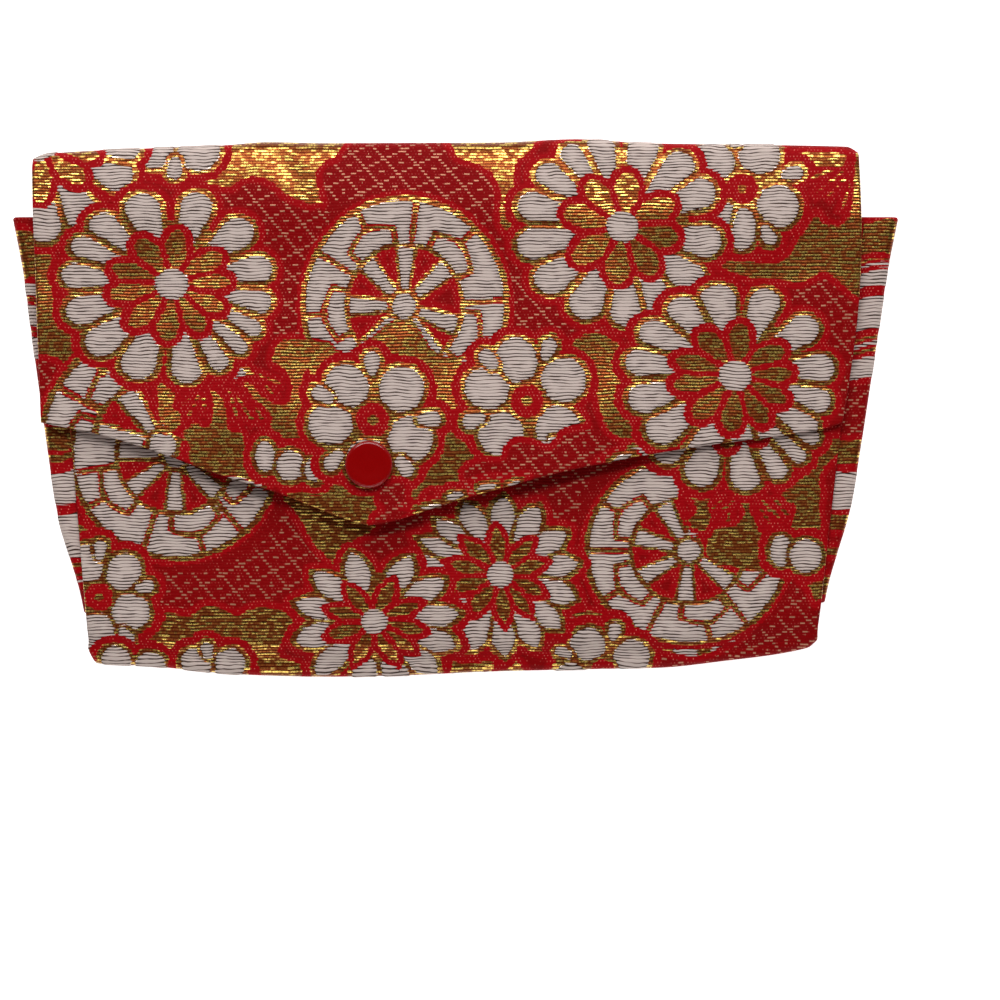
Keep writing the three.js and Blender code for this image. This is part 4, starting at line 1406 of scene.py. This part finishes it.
def liningMaterial():
    # Plain red silk satin, the brocade's own reverse: a soft sheen and a fine rib across the cloth
    recipe = [
        ("threads", "Attribute", {"attribute_name": "threads"}),
        ("place", "SeparateXYZ", {}, {0: "threads:Vector"}),
        ("row", "Math", over, {0: "place:Y", 1: threads["reversePitch"]}),
        ("tent", "Math", zigzag, {0: "row", 1: 0.5}),
        ("blotch", "TexNoise", inPlane, {"Vector": "threads:Vector", "Scale": 0.2}),
        ("colour", "Mix", blending, {0: "blotch:Fac", 6: colours["reverse"], 7: colours["paleReverse"]}),
        ("bump", "Bump", {}, {"Strength": 0.5, "Distance": 0.0001, "Height": "tent"}),
        (
            "cloth", "BsdfPrincipled", {},
            {"Base Color": "colour:2", "Roughness": 0.55, "Normal": "bump", "Sheen Weight": 0.1},
        ),
    ]
    return newMaterial("satin_reverse", recipe)


def plasticMaterial():
    # Moulded acetal, red all through: smooth and glossy, with a faint orange peel from the mould
    recipe = [
        ("coordinates", "TexCoord"),
        ("peel", "TexNoise", {}, {"Vector": "coordinates:Object", "Scale": 900.0, "Detail": 2.0}),
        ("bump", "Bump", {}, {"Strength": 0.05, "Distance": 0.00005, "Height": "peel:Fac"}),
        ("wear", "TexNoise", {}, {"Vector": "coordinates:Object", "Scale": 300.0}),
        ("rough", "MapRange", {}, {0: "wear:Fac", 3: 0.13, 4: 0.19}),
        (
            "plastic", "BsdfPrincipled", {},
            {"Base Color": colours["plastic"], "Roughness": "rough", "Normal": "bump", "IOR": 1.48},
        ),
    ]
    return newMaterial("acetal_moulded", recipe)


# Studio: a pale lit floor, a wide soft light beyond the top fold, a low one on the other side, and a
# room that is darker overhead than at its sides
studio = {
    "floorSize": 6.0,
    "floorGlow": 0.9,
    "overhead": 0.035,
    "around": 0.17,
    "lights": [
        {"name": "top_softbox", "at": (-0.1, 1.0, 0.62), "size": (1.2, 0.4), "power": 6.2, "aim": (0, 0, 0)},
        {"name": "high_strip", "at": (0, 0.62, 1.0), "size": (1.0, 0.16), "power": 8.0, "aim": (0, 0, 0)},
        {"name": "front_strip", "at": (0, -0.5, 0.95), "size": (1.0, 0.14), "power": 0.8, "aim": (0, 0, 0)},
        {"name": "low_fill", "at": (0.1, -1.0, 0.45), "size": (1.2, 0.3), "power": 3.6, "aim": (0, 0, 0)},
    ],
}


def makeFloor():
    # a square of lit white paper, level with the pouch's back
    side = studio["floorSize"] / 2
    mesh = bpy.data.meshes.new("floor")
    corners = [(-side, -side, 0), (side, -side, 0), (side, side, 0), (-side, side, 0)]
    mesh.from_pydata(corners, [], [(0, 1, 2, 3)])
    floor = newObject("floor", mesh)
    paper = {"Base Color": colours["paper"], "Roughness": 0.9, "Emission Color": (1, 1, 1, 1)}
    paper["Emission Strength"] = studio["floorGlow"]
    mesh.materials.append(newMaterial("paper_lit", [("paper", "BsdfPrincipled", {}, paper)]))


def makeLights():
    # each light turned so that its face looks at its aim, and the room as a background that fades upwards
    for entry in studio["lights"]:
        light = bpy.data.lights.new(entry["name"], "AREA")
        light.shape, light.size, light.size_y = "RECTANGLE", *entry["size"]
        light.energy = entry["power"]
        holder = newObject(entry["name"], light)
        holder.location = entry["at"]
        way = np.array(entry["aim"]) - np.array(entry["at"])
        tilt, turn = math.atan2(math.hypot(way[0], way[1]), -way[2]), math.atan2(-way[0], way[1])
        holder.rotation_euler = (tilt, 0, turn)
    world = bpy.data.worlds.new("studio")
    world.use_nodes = True
    tree = world.node_tree
    tree.nodes.clear()
    rows = [
        ("direction", "TexCoord"),
        ("parts", "SeparateXYZ", {}, {0: "direction:Generated"}),
        (
            "height", "MapRange", soft,
            {0: "parts:Z", 1: 0.3, 2: 0.95, 3: studio["around"], 4: studio["overhead"]},
        ),
        ("room", "Background", {}, {"Strength": "height"}),
        ("Output", "OutputWorld", {}, {"Surface": "room"}),
    ]
    for row in rows:
        addNode(tree, *row)
    bpy.context.scene.world = world


def makeCamera():
    # straight above the photograph's middle, with the lens that gives its millimetres a pixel on the face
    lens = bpy.data.cameras.new("camera")
    camera = newObject("camera", lens)
    camera.location = (cameraX * mm, cameraY * mm, photo["height"] * mm)
    lens.lens = lens.sensor_width * (photo["height"] - photo["face"]) / (photo["size"] * photo["mmPerPixel"])
    bpy.context.scene.camera = camera
    bpy.context.scene.view_settings.view_transform = "Standard"


makeFloor()
makeLights()
makeCamera()
print("studio made")
brocade, lining, plastic = brocadeMaterial(), liningMaterial(), plasticMaterial()
print("materials made")

for piece, length in makeStrip():
    piece.data.materials.append(brocade)
    piece.data.materials.append(lining)
    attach(piece, "root")
    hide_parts("body_and_flap")

for name, node, side in (("gusset_cloth_left", "gusset_left", -1), ("gusset_cloth_right", "gusset_right", 1)):
    gusset, wide, tall = makeGusset(name, side)
    gusset.data.materials.append(brocade)
    gusset.data.materials.append(lining)
    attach(gusset, "root")
    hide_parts(node)

cap = makeCap()
cap.data.materials.append(plastic)
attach(cap, "root")
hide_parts("snap_cap")
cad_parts["snap_stud"].data.materials.clear()
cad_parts["snap_stud"].data.materials.append(plastic)
